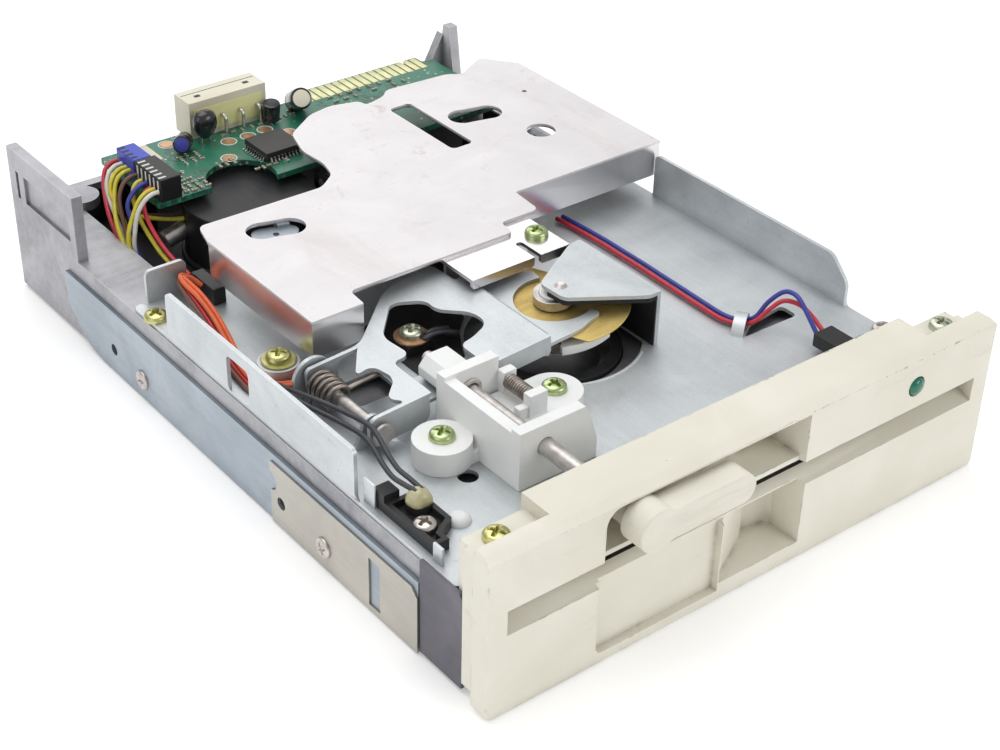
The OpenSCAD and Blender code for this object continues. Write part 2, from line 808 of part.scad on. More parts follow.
// Outline of a side rail with its bevelled lower rear corner
module rail_outline(top) {
    polygon(concat([[rail_front, 0], [rail_front, top], [rail_rear, top]],
                   spread(rail_bevel_shares, rail_rear, top)));
}

module rail_holes() {
    for (y = rail_screw_y) translate([y, rail_screw_z]) circle(r = screw_r + fit, $fn = round_fn);
    for (y = [mount_front, mount_front + mount_pitch])
        translate([y, mount_side_z]) circle(r = mount_r + play, $fn = round_fn);
}

module side_rail_left() {
    color("lightsteelblue") place() {
        side_plate(-half_w, -casting_half_w) difference() {
            rail_outline(rail_top);
            rail_holes();
        }
    }
}

module side_rail_right() {
    color("lightsteelblue") place()
        side_plate(casting_half_w, half_w) difference() {
            rail_outline(rail_right_top);
            rail_holes();
        }
}

// Dark end plates beside the bezel's rear edge
module side_plates() {
    color("dimgray") place() for (s = [-1, 1])
        side_plate(min(s * half_w, s * casting_half_w), max(s * half_w, s * casting_half_w))
            polygon([[plate_front, foot_low], [plate_front, plate_top - sheet_t],
                     [plate_front + sheet_t, plate_top], [plate_rear, plate_top], [plate_rear, foot_low]]);
}

// Grounding leaf on the left rail
module ground_leaf() {
    color("tan") place() side_plate(-half_w - leaf_t, -half_w) difference() {
        polygon([[leaf_front, 0], [leaf_front, leaf_top - 2 * sheet_t],
                 [leaf_front + 2 * sheet_t, leaf_top], [leaf_rear, leaf_top], [leaf_rear, 0]]);
        translate([leaf_slot[0], leaf_slot[2]]) square([leaf_slot[1], leaf_slot[3]]);
        translate([mount_front, mount_side_z]) circle(r = leaf_hole_r, $fn = round_fn);
        translate([leaf_rear, leaf_notch[1]]) circle(r = leaf_notch[2], $fn = round_fn);
        translate([rail_screw_y[0], rail_screw_z]) circle(r = screw_r + fit, $fn = round_fn);
    }
}

module rail_screws() {
    color("gainsboro") place() {
        side_screw(-half_w - leaf_t, rail_screw_y[0], rail_screw_z, -1);
        side_screw(-half_w, rail_screw_y[1], rail_screw_z, -1);
        for (y = rail_screw_y) side_screw(half_w, y, rail_screw_z, 1);
    }
}

// Deck plate with flanges, stop strap, axle ears, bridge and tab
module deck_plate() {
    color("lightsteelblue") place() difference() {
        union() {
            block_at([-deck_half_w, deck_front, deck_low], [deck_half_w, deck_rear, deck_top]);
            side_plate(-deck_half_w, -deck_half_w + sheet_t) difference() {
                translate([flange_left[0], deck_low])
                    square([flange_left[1] - flange_left[0], flange_top - deck_low]);
                translate([flange_gap[0], deck_top]) square([flange_gap[1], flange_gap[2]]);
            }
            side_plate(deck_half_w - sheet_t, deck_half_w)
                polygon([[flange_right[0], deck_low], [flange_right[0], flange_top - flange_bevel],
                         [flange_right[0] + flange_bevel, flange_top], [flange_right[1], flange_top],
                         [flange_right[1], deck_low]]);
            block_at([tab_x[0], deck_rear - sheet_t, deck_low], [tab_x[1], deck_rear, tab_top]);
            for (i = [0, 1]) axle_ear(ear_y[i], ear_r[i]);
            for (s = [-1, 1]) front_tab(s * front_post_x);
            translate([deck_bump[0], deck_bump[1], deck_top])
                cylinder(h = deck_bump_h, r1 = deck_bump[2], r2 = deck_bump[2] / 2, $fn = round_fn);
            translate([standoff[0], standoff[1], deck_low])
                stud(sheet_t + standoff_h, standoff_r);
        }
        intersection() {
            translate([hub_x, hub_y, 0]) disc(flange_top, deck_hole_r);
            block_at([hub_x - deck_hole_r, hub_y - deck_hole_r, 0],
                     [strap_leg_x, hub_y + deck_hole_r, flange_top]);
        }
        block_at([axle_x + arm_hole[0], arm_hole[1], 0],
                 [axle_x + arm_hole[0] + arm_hole[2], arm_hole[1] + arm_hole[3], deck_top + cut]);
        block_at([hub_x - head_slot_w / 2, head_slot_front, 0],
                 [hub_x + head_slot_w / 2, deck_rear + cut, deck_top + cut]);
        translate([deck_hole[0], deck_hole[1], 0])
            stud(flange_top, deck_hole[2]);
        translate([bridge_hole_at[0], bridge_hole_at[1], 0]) linear_extrude(height = deck_top + cut)
            polygon(spread(bridge_hole_shares, bridge_hole[0], bridge_hole[1]));
        for (p = deck_screw_places) screw_hole(p, deck_top + cut);
        translate([standoff[0], standoff[1], deck_top + standoff_h - screw_len])
            stud(standoff_h, screw_r + fit);
        screw_hole(index_at, deck_top + cut);
        for (p = bracket_boss) screw_hole(p, deck_top + cut);
        screw_hole(housing_screw, deck_top + cut);
    }
    color("lightsteelblue") place() {
        block_at([strap_leg_x, strap_front, deck_low], [strap_leg_x + sheet_t, strap_rear, strap_top]);
        flat_plate(strap_top - sheet_t, strap_top)
            translate([strap_leg_x + sheet_t - strap_reach, strap_front])
            polygon(spread(strap_corner_shares, strap_reach, strap_rear - strap_front));
        wire_bridge();
    }
}

// Ear that carries the arm's axle
module axle_ear(y, r) {
    front_plate(y, y + sheet_t) difference() {
        union() {
            translate([axle_x, deck_low])
                polygon([[-ear_w / 2, 0], [-r, axle_z - deck_low], [r, axle_z - deck_low], [ear_w / 2, 0]]);
            translate([axle_x, axle_z]) circle(r = r, $fn = round_fn);
        }
        translate([axle_x, axle_z]) circle(r = axle_r + run_fit, $fn = fine);
    }
}

// Upturned tab inside the bezel that takes one of its screws
module front_tab(x) {
    top = bezel_ledge_z - bezel_wall;
    difference() {
        union() {
            block_at([x - front_tab_w / 2, deck_front, deck_low], [x + front_tab_w / 2,
                deck_front + sheet_t, top]);
            block_at([x - front_tab_w / 2, front_tab_front, top - sheet_t],
                     [x + front_tab_w / 2, deck_front + sheet_t, top]);
        }
        translate([x, front_post_y, deck_top]) stud(top, screw_r + fit);
    }
}

// Small arched bridge that holds the lamp's leads down
module wire_bridge() {
    arch = bridge_span / 2;
    translate([bridge_at[0], bridge_at[1], deck_low]) rotate(bridge_turn)
        translate([-bridge_w / 2, 0, 0]) rotate([90, 0, 90]) linear_extrude(height = bridge_w)
        difference() {
            intersection() {
                translate([0, sheet_t + bridge_h - arch]) circle(r = arch + sheet_t, $fn = fine);
                translate([-2 * arch, 0]) square([4 * arch, 2 * arch]);
            }
            intersection() {
                translate([0, sheet_t + bridge_h - arch]) circle(r = arch, $fn = fine);
                translate([-arch, -cut]) square([2 * arch, 2 * arch]);
            }
        }
}

// Yellow screws: deck to casting, and two with washers on the white boss and the index sensor
module deck_screws() {
    color("gold") place() {
        translate([deck_screw_places[0][0], deck_screw_places[0][1], deck_top]) screw();
        washer_screw([standoff[0], standoff[1], deck_top + standoff_h], screw_len - sheet_t);
        washer_screw([index_at[0], index_at[1], deck_top + index_h], index_h);
    }
}

// A washer with its screw standing on a given point
module washer_screw(at, shank) {
    translate(at) {
        stud(washer_t, deck_screw_washer_r);
        translate([0, 0, washer_t]) screw(shank = shank);
    }
}

// Silver screws: deck to casting, and the one inside the sensor housing
module silver_screws() {
    color("gainsboro") place() {
        translate([deck_screw_places[1][0], deck_screw_places[1][1], deck_top]) screw();
        translate([housing_screw[0], housing_screw[1], deck_top + housing_wall])
            screw(head_r = housing_screw_head_r, shank = housing_wall + sheet_t);
    }
}

// Rivet that holds the stop under the strap
module stop_rivet() {
    color("silver") place() translate([rivet[0], rivet[1], strap_top])
        cylinder(h = rivet_h, r1 = rivet_r, r2 = rivet_r / 2, $fn = round_fn);
}

// Front cover with the slot, lever recess, pocket and thumb notch
module front_bezel() {
    color("ivory") place() difference() {
        union() {
            front_plate(0, bezel_t) translate([-bezel_w / 2, 0]) soft_rect(bezel_w, bezel_h, bezel_round);
            difference() {
                union() {
                    block_at([-half_w, bezel_t - cut, bezel_back_low],
                             [half_w, plate_front - fit, bezel_ledge_z]);
                    block_at([-casting_half_w + play, bezel_t - cut, bezel_back_low],
                             [casting_half_w - play, bezel_d, bezel_ledge_z]);
                }
                block_at([-casting_half_w + bezel_wall, bezel_t, bezel_back_low + bezel_wall],
                         [casting_half_w - bezel_wall, bezel_d + cut, bezel_ledge_z - bezel_wall]);
            }
            block_at([bezel_mid[0], bezel_t - cut, bezel_mid_z], [bezel_mid[1], bezel_mid_rear, bezel_h]);
            block_at([-casting_half_w + play, bezel_t - cut, slot_low - bezel_wall],
                     [casting_half_w - play, bezel_d, bezel_mid_z]);
            block_at([notch_x[0] - bezel_wall, bezel_t - cut, bezel_back_low],
                     [notch_x[1] + bezel_wall, bezel_d, slot_low]);
        }
        side_plate(-slot_w / 2, slot_w / 2)
            polygon([[-cut, slot_low], [slot_flat, slot_low], [slot_ramp, slot_throat_low],
                     [bezel_d + cut, slot_throat_low],
                     [bezel_d + cut, deck_low], [0, slot_high], [-cut, slot_high]]);
        side_plate(-bezel_w, bezel_w)
            polygon([[-cut, bezel_h - bezel_chamfer[1]], [0, bezel_h - bezel_chamfer[1]],
                     [bezel_chamfer[0], bezel_h], [bezel_chamfer[0], bezel_h + cut], [-cut, bezel_h + cut]]);
        front_plate(-cut, recess_d) recess_outline();
        front_plate(-cut, pocket_d) pocket_outline();
        flat_plate(notch_floor, slot_low + cut) translate([notch_x[0], -cut])
            polygon(spread(scoop_shares, notch_x[1] - notch_x[0], notch_d + cut));
        rod_y(lever_x, lever_z, shaft_r + play, recess_d - cut, bezel_mid_rear + cut);
        rod_y(led_x, led_z, led_r + fit, -cut, bezel_mid_rear + cut);
        for (s = [-1, 1]) translate([s * front_post_x, front_post_y, slot_high])
            stud(bezel_h, screw_r + fit);
        for (s = [-1, 1])
            block_at([s * front_post_x - front_tab_w / 2 - play, bezel_t, slot_high + bezel_wall],
                     [s * front_post_x + front_tab_w / 2 + play, bezel_d + cut, bezel_ledge_z - bezel_wall]);
    }
}

module recess_outline() {
    low = slot_high + lip_h;
    translate([recess[0], low]) square([recess[1] - recess[0], recess_z - recess_round - low]);
    translate([recess[0] + recess_round, low])
        square([recess[1] - recess[0] - recess_round, recess_z - low]);
    translate([recess[0] + recess_round, recess_z - recess_round]) circle(r = recess_round, $fn = round_fn);
}

module pocket_outline() {
    translate([pocket[0], pocket_low + pocket_round])
        square([pocket[1] - pocket[0], slot_low - pocket_low - pocket_round + cut]);
    translate([pocket[0] + pocket_round, pocket_low])
        square([pocket[1] - pocket[0] - pocket_round, slot_low - pocket_low]);
    translate([pocket[0] + pocket_round, pocket_low + pocket_round])
        circle(r = pocket_round, $fn = round_fn);
    translate([recess[0], slot_low]) square([recess[1] - recess[0], slot_high + 2 * lip_h - slot_low]);
}

module bezel_screws() {
    color("khaki") place() for (s = [-1, 1])
        translate([s * front_post_x, front_post_y, bezel_ledge_z]) screw(shank = bezel_wall + sheet_t);
}

// Turning lever with its knob, handle and rear boss
module lever() {
    color("ivory") place() difference() {
        union() {
            rod_y(lever_x, lever_z, knob_r, -front_out, knob_back);
            front_plate(-front_out, handle_back) {
                translate([lever_x, lever_z - lever_h / 2]) square([lever_len - lever_h / 2, lever_h]);
                translate([lever_x + lever_len - lever_h / 2, lever_z]) circle(r = lever_h / 2, $fn = fine);
            }
            rod_y(lever_x, lever_z, lever_boss_r, 0, recess_d - play);
        }
        rod_y(lever_x, lever_z, shaft_r + fit, knob_back - sheet_t, bezel_d);
    }
}

// Steel shaft from the lever to the cam, in two diameters
module lever_shaft() {
    color("silver") place() {
        rod_y(lever_x, lever_z, shaft_r, knob_back - sheet_t + fit, bracket_front + bracket_wall);
        rod_y(lever_x, lever_z, shaft_rear_r, bracket_front, shaft_end);
    }
}

// Cam that presses the arm's tongue down
module lever_cam() {
    color("white") place() difference() {
        union() {
            front_plate(cam_front, cam_rear) translate([lever_x, lever_z])
                polygon(spread(cam_profile_shares, cam_r, cam_r));
            rod_y(lever_x, lever_z, cam_collar_r, cam_rear - cut, cam_rear + collar_w);
        }
        rod_y(lever_x, lever_z, shaft_rear_r + fit, cam_front - cut, shaft_end);
    }
}

// Moulded bracket that carries the shaft on the deck
module lever_bracket() {
    left = lever_x - bracket_left;
    color("white") place() difference() {
        union() {
            front_plate(bracket_front, bracket_front + bracket_wall) translate([left, deck_top])
                polygon(spread(bracket_face_shares, bracket_face_w, bracket_top - deck_top));
            block_at([left, bracket_front, deck_top], [left + bracket_wall, bracket_rear, bracket_side]);
            block_at([left, bracket_rear - bracket_wall, deck_top],
                     [left + bracket_rear_w, bracket_rear, bracket_top]);
            block_at([bracket_boss[0][0], bracket_boss[0][1] - bracket_arm_w / 2, deck_top],
                     [left + cut, bracket_boss[0][1] + bracket_arm_w / 2, deck_top + bracket_wall]);
            block_at([left + cut, bracket_boss[1][1] - bracket_boss_r, deck_top],
                     [bracket_boss[1][0], bracket_boss[1][1] + bracket_boss_r, bracket_floor]);
            for (p = bracket_boss) translate([p[0], p[1], deck_top])
                disc(bracket_floor - deck_top, bracket_boss_r);
            block_at([lever_x + spring_x - bracket_lug_w / 2,
                spring_y[0] - play - bracket_lug_w / 2, deck_top],
                     [lever_x + spring_x + bracket_lug_w / 2, spring_y[0] - play,
                      lever_z + bracket_lug_w / 2]);
        }
        rod_y(lever_x, lever_z, shaft_r + run_fit, bracket_front - cut, bracket_front + bracket_wall + cut);
        rod_y(lever_x, lever_z, shaft_rear_r + run_fit, bracket_front + bracket_wall, bracket_rear + cut);
        for (p = bracket_boss) translate([p[0], p[1], deck_low])
            stud(bracket_top, screw_r + fit);
    }
}

// Spring between the bracket's lug and its rear wall
lever_spring_path = helix_y(lever_x + spring_x, spring_z, spring_r, spring_y[0] + spring_wire,
                            spring_y[1] - spring_wire, spring_turns, wire_steps, 0);
echo("lever_spring least gap to itself", least_gap(lever_spring_path, spring_wire));
module lever_spring() {
    color("darkslategray") place() tube(lever_spring_path, spring_wire, 6, [0, 1, 0]);
}

module bracket_screws() {
    color("darkseagreen") place() for (p = bracket_boss)
        translate([p[0], p[1], bracket_floor]) screw(shank = bracket_floor - deck_low);
}

// Pressed clamp arm with its fork, window, flanges and the cam's tongue
module clamp_arm() {
    color("lightsteelblue") place() about_axle(rest_tilt) difference() {
        union() {
            arm_sheet(arm_top - sheet_t, arm_top, -arm_reach, arm_step_x);
            arm_sheet(arm_top - sheet_t - arm_step_h, arm_top - arm_step_h, arm_step_x - sheet_t, arm_reach);
            arm_sheet(arm_top - sheet_t - arm_step_h, arm_top, arm_step_x - sheet_t, arm_step_x);
            block_at([axle_x + arm_flange_right[0], arm_front, arm_top - arm_flange_right_h],
                     [axle_x + arm_flange_right[1], arm_front + sheet_t, arm_top]);
            block_at([axle_x + arm_left_end, arm_front, arm_top - arm_flange_left_h],
                     [axle_x + arm_flange_left, arm_front + sheet_t, arm_top]);
            block_at([axle_x + arm_left_end, arm_bearing_y, arm_top - arm_flange_left_h],
                     [axle_x - arm_left_end * 2, arm_bearing_y + sheet_t, arm_top]);
            block_at([axle_x + arm_left_end, arm_bearing_y, arm_top - sheet_t],
                     [axle_x + arm_flange_left, arm_bearing_y + sheet_t, arm_top]);
            block_at([axle_x + arm_cam_gap[0] - sheet_t, arm_tongue_y, arm_top - tongue_drop - sheet_t],
                     [axle_x + arm_cam_gap[0], arm_tongue_y + tongue_d, arm_top]);
            block_at([axle_x + arm_cam_gap[0] - sheet_t, arm_tongue_y, arm_top - tongue_drop - sheet_t],
                     [axle_x + tongue_reach, arm_tongue_y + tongue_d, arm_top - tongue_drop]);
        }
        rod_y(axle_x, axle_z, axle_r + run_fit, arm_front - cut, arm_bearing_y + sheet_t + cut);
    }
}

// Part of the arm's sheet between two heights and two distances from the axle
module arm_sheet(z0, z1, x0, x1) {
    flat_plate(z0, z1) intersection() {
        difference() {
            translate([axle_x, arm_front]) polygon(spread(arm_outline_shares, arm_reach, arm_depth));
            translate([axle_x, arm_front]) polygon(spread(arm_window_shares, arm_reach, arm_depth));
            translate([axle_x + arm_cam_gap[0], arm_front - cut])
                square([arm_cam_gap[1] - arm_cam_gap[0], arm_cam_gap_d + cut]);
            translate([hub_x, hub_y]) circle(r = arm_notch_r, $fn = fine);
        }
        translate([axle_x + x0, arm_front - cut]) square([x1 - x0, 2 * arm_depth]);
    }
}

module arm_axle() {
    color("silver") place() {
        rod_y(axle_x, axle_z, axle_r, axle_front, axle_rear);
        rod_y(axle_x, axle_z, axle_head_r, axle_front - axle_head_h, axle_front);
    }
}

// Torsion spring round the axle, with one leg under the arm and one on the deck
arm_coil = helix_y(axle_x, axle_z, coil_r, coil_y[0], coil_y[1], coil_turns, wire_steps, coil_start);
arm_spring_path = concat(
    [for (x = [coil_leg, 2 * coil_r])
        [axle_x + x, coil_y[0], arm_top - sheet_t + x * tan(rest_tilt) - play - coil_wire]],
    arm_coil, [[axle_x - coil_r, coil_y[1], deck_top + play]]);
echo("arm_spring least gap to itself", least_gap(arm_spring_path, coil_wire));
module arm_spring() { color("gray") place() tube(arm_spring_path, coil_wire, 6, [0, 1, 0]); }

// Clamping hub: cone, pressing ring and neck
module clamp_hub() {
    color("white") place() about_axle(swing) translate([hub_x, hub_y, 0]) {
        translate([0, 0, hub_ring_low - hub_cone_h])
            cylinder(h = hub_cone_h, r1 = hub_cone_low_r, r2 = hub_cone_r, $fn = fine);
        translate([0, 0, hub_ring_low]) disc(hub_ring_h, hub_ring_r);
        translate([0, 0, hub_ring_low + hub_ring_h]) disc(hub_body_h, hub_body_r);
        translate([0, 0, hub_ring_low])
            disc(hub_neck_top - hub_ring_low, hub_neck_r);
    }
}

module hub_collar() {
    color("silver") place() about_axle(swing) translate([hub_x, hub_y, collar_low]) difference() {
        disc(collar_h, collar_r);
        translate([0, 0, -cut]) disc(collar_h + 2 * cut, hub_neck_r + run_fit);
    }
}

// Brass leaf under the fork that lets the hub seat itself
module hub_leaf() {
    color("goldenrod") place() about_axle(rest_tilt)
        flat_plate(arm_top - arm_step_h - sheet_t - leaf_sheet, arm_top - arm_step_h - sheet_t)
        translate([hub_x, hub_y]) difference() {
            intersection() {
                circle(r = leaf_r, $fn = fine);
                rotate(leaf_turn) translate([-leaf_r, -leaf_half]) square([2 * leaf_r, 2 * leaf_half]);
            }
            circle(r = hub_neck_r + play, $fn = fine);
        }
}

// Spindle with its platter and cone cup
module spindle() {
    color("silver") place() translate([hub_x, hub_y, 0]) difference() {
        union() {
            translate([0, 0, platter_top - platter_t]) disc(platter_t, platter_r);
            translate([0, 0, spindle_low]) cylinder(h = platter_top - platter_t - spindle_low + cut,
                                                    r = spindle_r, $fn = fine);
        }
        translate([0, 0, platter_top - cup_depth])
            cylinder(h = cup_depth, r1 = hub_cone_low_r + play, r2 = hub_cone_r + play, $fn = fine);
        translate([0, 0, platter_top - fit])
            disc(cut, hub_cone_r + play);
    }
}

module spindle_bearing() {
    color("goldenrod") place() translate([hub_x, hub_y, bearing_low]) difference() {
        disc(bearing_top - bearing_low, bearing_r - run_fit);
        translate([0, 0, -cut]) disc(bearing_top, spindle_r + run_fit);
    }
}

// Rotor of the spindle motor
module motor_rotor() {
    color("dimgray") place() translate([hub_x, hub_y, spindle_low]) difference() {
        disc(rotor_h, rotor_r);
        translate([0, 0, -cut]) disc(rotor_h + 2 * cut, spindle_r + fit);
        translate([0, 0, sheet_t]) difference() {
            disc(rotor_h, rotor_r - casting_wall);
            disc(rotor_h, rotor_hub_r);
        }
    }
}

// Stator board with its flat coils
module motor_stator() {
    color("seagreen") place() translate([hub_x, hub_y, 0]) {
        difference() {
            flat_plate(stator_z, stator_z + board_t)
                translate([-stator_half, -stator_half]) square(2 * stator_half);
            disc(deck_top, bearing_boss_r + play);
        }
        for (k = [0 : coil_n - 1]) rotate(360 * k / coil_n)
            translate([coil_ring, 0, stator_z - coil_h]) difference() {
                stud(coil_h, coil_out);
                translate([0, 0, -cut]) stud(coil_h + 2 * cut, coil_in);
            }
    }
}

// Bright shield over the heads, with folded edges and openings
module shield_plate() {
    w = shield_right - shield_left;
    d = shield_rear - shield_front;
    color("gainsboro") place() difference() {
        union() {
            flat_plate(shield_low, shield_top) translate([shield_left, shield_front])
                polygon(spread(shield_shares, w, d));
            block_at([shield_left, shield_front, shield_top - shield_fold],
                     [shield_left + sheet_t, shield_front + shield_shares[10][1] * d - cut, shield_top]);
            block_at([shield_left, shield_front, shield_top - shield_fold],
                     [shield_left + shield_shares[8][0] * w, shield_front + sheet_t, shield_top]);
            block_at([shield_left + shield_shares[2][0] * w, shield_front + shield_shares[1][1] * d,
                      shield_top - shield_fold],
                     [shield_right, shield_front + shield_shares[1][1] * d + sheet_t, shield_top]);
            block_at([shield_right - sheet_t, shield_front + shield_shares[1][1] * d,
                      shield_top - shield_fold],
                     [shield_right, shield_front + shield_shares[0][1] * d, shield_top]);
        }
        translate([shield_hole[0], shield_hole[1], 0])
            stud(2 * shield_top, shield_hole[2]);
        flat_plate(shield_low - cut, shield_top + cut) {
            oblong(shield_oblong, shield_oblong_r);
            oblong(shield_oval, shield_oval_r);
            translate([shield_slot[0], shield_slot[1]]) square([shield_slot[2], shield_slot[3]]);
        }
        translate([shield_post[0], shield_post[1], 0])
            stud(2 * shield_top, screw_r / 2);
    }
}

// A slot with round ends between two points
module oblong(ends, r) {
    v = ends[1] - ends[0];
    for (p = ends) translate(p) circle(r = r, $fn = round_fn);
    half = r * oblong_side_share;
    translate(ends[0]) rotate(atan2(v[1], v[0])) translate([0, -half]) square([norm(v), 2 * half]);
}

// Bracket in front of the shield, standing on the deck
module shield_bracket() {
    color("gainsboro") place() difference() {
        union() {
            block_at([bracket_plate[0], bracket_plate_y[0], shield_low - sheet_t],
                     [bracket_plate[1], bracket_plate_y[1], shield_low]);
            block_at([bracket_plate[0], bracket_plate_y[0], shield_low - sheet_t - bracket_lip],
                     [bracket_plate[1], bracket_plate_y[0] + sheet_t, shield_low]);
            block_at([bracket_leg_x[0], bracket_plate_y[1] - sheet_t, deck_top],
                     [bracket_leg_x[1], bracket_plate_y[1], shield_low]);
        }
        block_at([bracket_slit[0], bracket_plate_y[0] - cut, shield_low - bracket_lip - sheet_t - cut],
                 [bracket_slit[0] + bracket_slit[1], bracket_plate_y[0] + bracket_slit_d, shield_low + cut]);
        translate([shield_screw_at[0], shield_screw_at[1], shield_low - screw_len])
            stud(screw_len + cut, screw_r + fit);
    }
}

module shield_screw() {
    color("darkkhaki") place() translate([shield_screw_at[0], shield_screw_at[1], shield_low]) screw();
}

// Circuit board with the round cut-out over the motor and the edge tongue
module circuit_board() {
    color("seagreen") place() difference() {
        flat_plate(board_low, board_top) {
            polygon([[board_left, board_rear], [board_left, board_front + board_step],
                     [stepper_x, board_front + board_step], [stepper_x, board_front],
                     [board_right, board_front], [board_right, board_rear]]);
            translate([tongue[0], board_rear - cut]) square([tongue[1], tongue[2] - board_rear + cut]);
        }
        translate([stepper_x, board_front + board_notch_r / 2, 0])
            disc(shield_top, board_notch_r);
        block_at([tongue[0] + tongue[1] - tongue_key[0], tongue[2] - contact_len, board_low - cut],
                 [tongue[0] + tongue[1] - tongue_key[0] + tongue_key[1] / 2, tongue[2] + cut,
                     board_top + cut]);
        translate([shield_post[0], shield_post[1], 0])
            stud(shield_top, post_r + play);
    }
}

module edge_contacts() {
    first = tongue[0] + (tongue[1] - (contact_n - 1) * contact_pitch) / 2;
    color("gold") place() for (i = [0 : contact_n - 1], z = [board_low - contact_t, board_top])
        block_at([first + i * contact_pitch - contact_w / 2, tongue[2] - contact_len, z],
                 [first + i * contact_pitch + contact_w / 2, tongue[2] - contact_w / 4, z + contact_t]);
}

// Shell of the power connector, open to the rear
module power_connector() {
    color("white") place() difference() {
        block_at([power_x[0], power_y[0], board_top], [power_x[1], power_y[1], board_top + power_h]);
        block_at([power_x[0] + power_wall, power_y[0] + 2 * power_wall, board_top + power_wall],
                 [power_x[1] - power_wall, power_y[1] + cut, board_top + power_h - power_wall]);
        for (i = [0 : pin_n - 1])
            rod_y(pin_x(i), board_top + power_h / 2, pin_r + fit, power_y[0] - cut, power_y[1]);
    }
}

function pin_x(i) = (power_x[0] + power_x[1]) / 2 + (i - (pin_n - 1) / 2) * pin_pitch;

module power_pins() {
    color("silver") place() for (i = [0 : pin_n - 1]) {
        rod_y(pin_x(i), board_top + power_h / 2, pin_r, power_y[0] - pin_r, power_y[1] - power_wall);
        translate([pin_x(i), power_y[0] - pin_r - fit, board_top])
            stud(power_h / 2 + pin_r, pin_r);
    }
}

// Places a part of the board from the board's left rear corner
module on_board(at) { translate([board_left + at[0], board_rear + at[1], board_top]) children(); }

// Four-way header with its plug
module plug_header() {
    color("royalblue") place() on_board(header) cube([header[2], header[3], header[4]]);
}

module motor_plug() { color("black") place() on_board(plug8) cube([plug8[2], plug8[3], plug8[4]]); }

// Square chip with a row of legs on each side
module chip() {
    color("black") place() on_board(chip_at) {
        translate([-chip_w / 2, -chip_w / 2, chip_leg[0] / 2]) cube([chip_w, chip_w, chip_h]);
        for (a = [0 : 90 : 270], i = [0 : chip_legs - 1]) rotate(a)
            translate([chip_w / 2 - chip_leg[0] / 2,
                       (i - (chip_legs - 1) / 2) * chip_leg[1] - chip_leg[0] / 2, 0])
            cube([chip_leg[2], chip_leg[0], chip_leg[1]]);
    }
}

module capacitors() {
    color("black") place() for (c = [cap_dome, cap_can, trimmer])
        on_board(c) stud(c[3], c[2]);
}

module small_parts() {
    color("saddlebrown") place() for (p = chip_part_places) on_board(p) cube(chip_part);
}

// Stepping motor that drives the head carriage
module stepper_motor() {
    color("dimgray") place() translate([stepper_x, stepper_y, 0]) difference() {
        union() {
            translate([0, 0, bay_floor_top]) disc(stepper_flange_t, stepper_flange);
            translate([0, 0, bay_floor_top])
                disc(stepper_top - bay_floor_top, stepper_r);
        }
        disc(bay_floor_top + pulley_h, pulley_shaft_r + run_fit);
    }
}

module stepper_pulley() {
    color("goldenrod") place() translate([stepper_x, stepper_y, pulley_low]) {
        disc(pulley_h, pulley_r);
        disc(bay_floor_top - pulley_low + pulley_h - play, pulley_shaft_r);
        translate([0, 0, (pulley_h - band_w) / 2]) disc(band_w, pulley_r + band_t);
    }
}

// Steel band stretched along the carriage's drive side
module head_band() {
    color("silver") place()
        block_at([band_x, carriage_front + carriage_len - band_foot, pulley_low + (pulley_h - band_w) / 2],
                 [band_x + band_t, band_rear, pulley_low + (pulley_h + band_w) / 2]);
}

// Head carriage with its stem and the band's two anchors
module head_carriage() {
    rear = carriage_front + carriage_len;
    color("dimgray") place() difference() {
        union() {
            block_at([hub_x - carriage_half_w, carriage_front, carriage_low],
                     [hub_x + carriage_half_w, rear, carriage_low + carriage_h]);
            block_at([hub_x - stem_half_w, rear - cut, pulley_low],
                     [hub_x + stem_half_w, stem_rear, carriage_low + carriage_h]);
            block_at([hub_x - stem_half_w, stem_rear - stem_block, pulley_low],
                     [hub_x + stem_half_w, stem_rear, stem_top]);
            block_at([hub_x - stem_half_w, stem_rear - cut, pulley_low],
                     [hub_x + stem_half_w, band_rear, carriage_low]);
            block_at([band_x + band_t, band_rear - band_foot, pulley_low],
                     [hub_x, band_rear, carriage_low]);
            block_at([band_x + band_t, rear - band_foot, pulley_low], [hub_x, rear, carriage_low + cut]);
            for (s = [-1, 1]) translate([hub_x + s * (stem_half_w - hinge_wall / 2) - hinge_wall / 2, 0, 0])
                block_at([0, stem_rear - stem_block, stem_top - cut], [hinge_wall, stem_rear,
                    hinge_z + 2 * hinge_r]);
        }
        for (s = [-1, 1])
            rod_y(hub_x + s * rod_x, rod_z, rod_r + run_fit, carriage_front - cut, rear + cut);
        rod_x(hinge_y, hinge_z, hinge_r + run_fit, hub_x - stem_half_w - cut, hub_x + stem_half_w + cut);
    }
}

module guide_rods() {
    color("silver") place() for (s = [-1, 1])
        rod_y(hub_x + s * rod_x, rod_z, rod_r, rod_front, rod_rear);
}

// Saddles that hold the guide rods under the platen and on the bay's floor
module rod_clamps() {
    color("gray") place() for (s = [-1, 1]) difference() {
        union() {
            block_at([hub_x + s * rod_x - clamp_w, rod_front, rod_z - rod_r],
                     [hub_x + s * rod_x + clamp_w, rod_front + clamp_w, platen_top - platen_t]);
            block_at([hub_x + s * rod_x - clamp_w, rod_rear - clamp_h, bay_floor_top],
                     [hub_x + s * rod_x + clamp_w, rod_rear, rod_z + rod_r + clamp_h]);
        }
        rod_y(hub_x + s * rod_x, rod_z, rod_r + fit, rod_front - cut, rod_rear + cut);
    }
}

// Sprung arm that carries the upper head, lifted while the lever is open
module lift(angle) {
    translate([0, hinge_y, hinge_z]) rotate([-angle, 0, 0]) translate([0, -hinge_y, -hinge_z]) children();
}

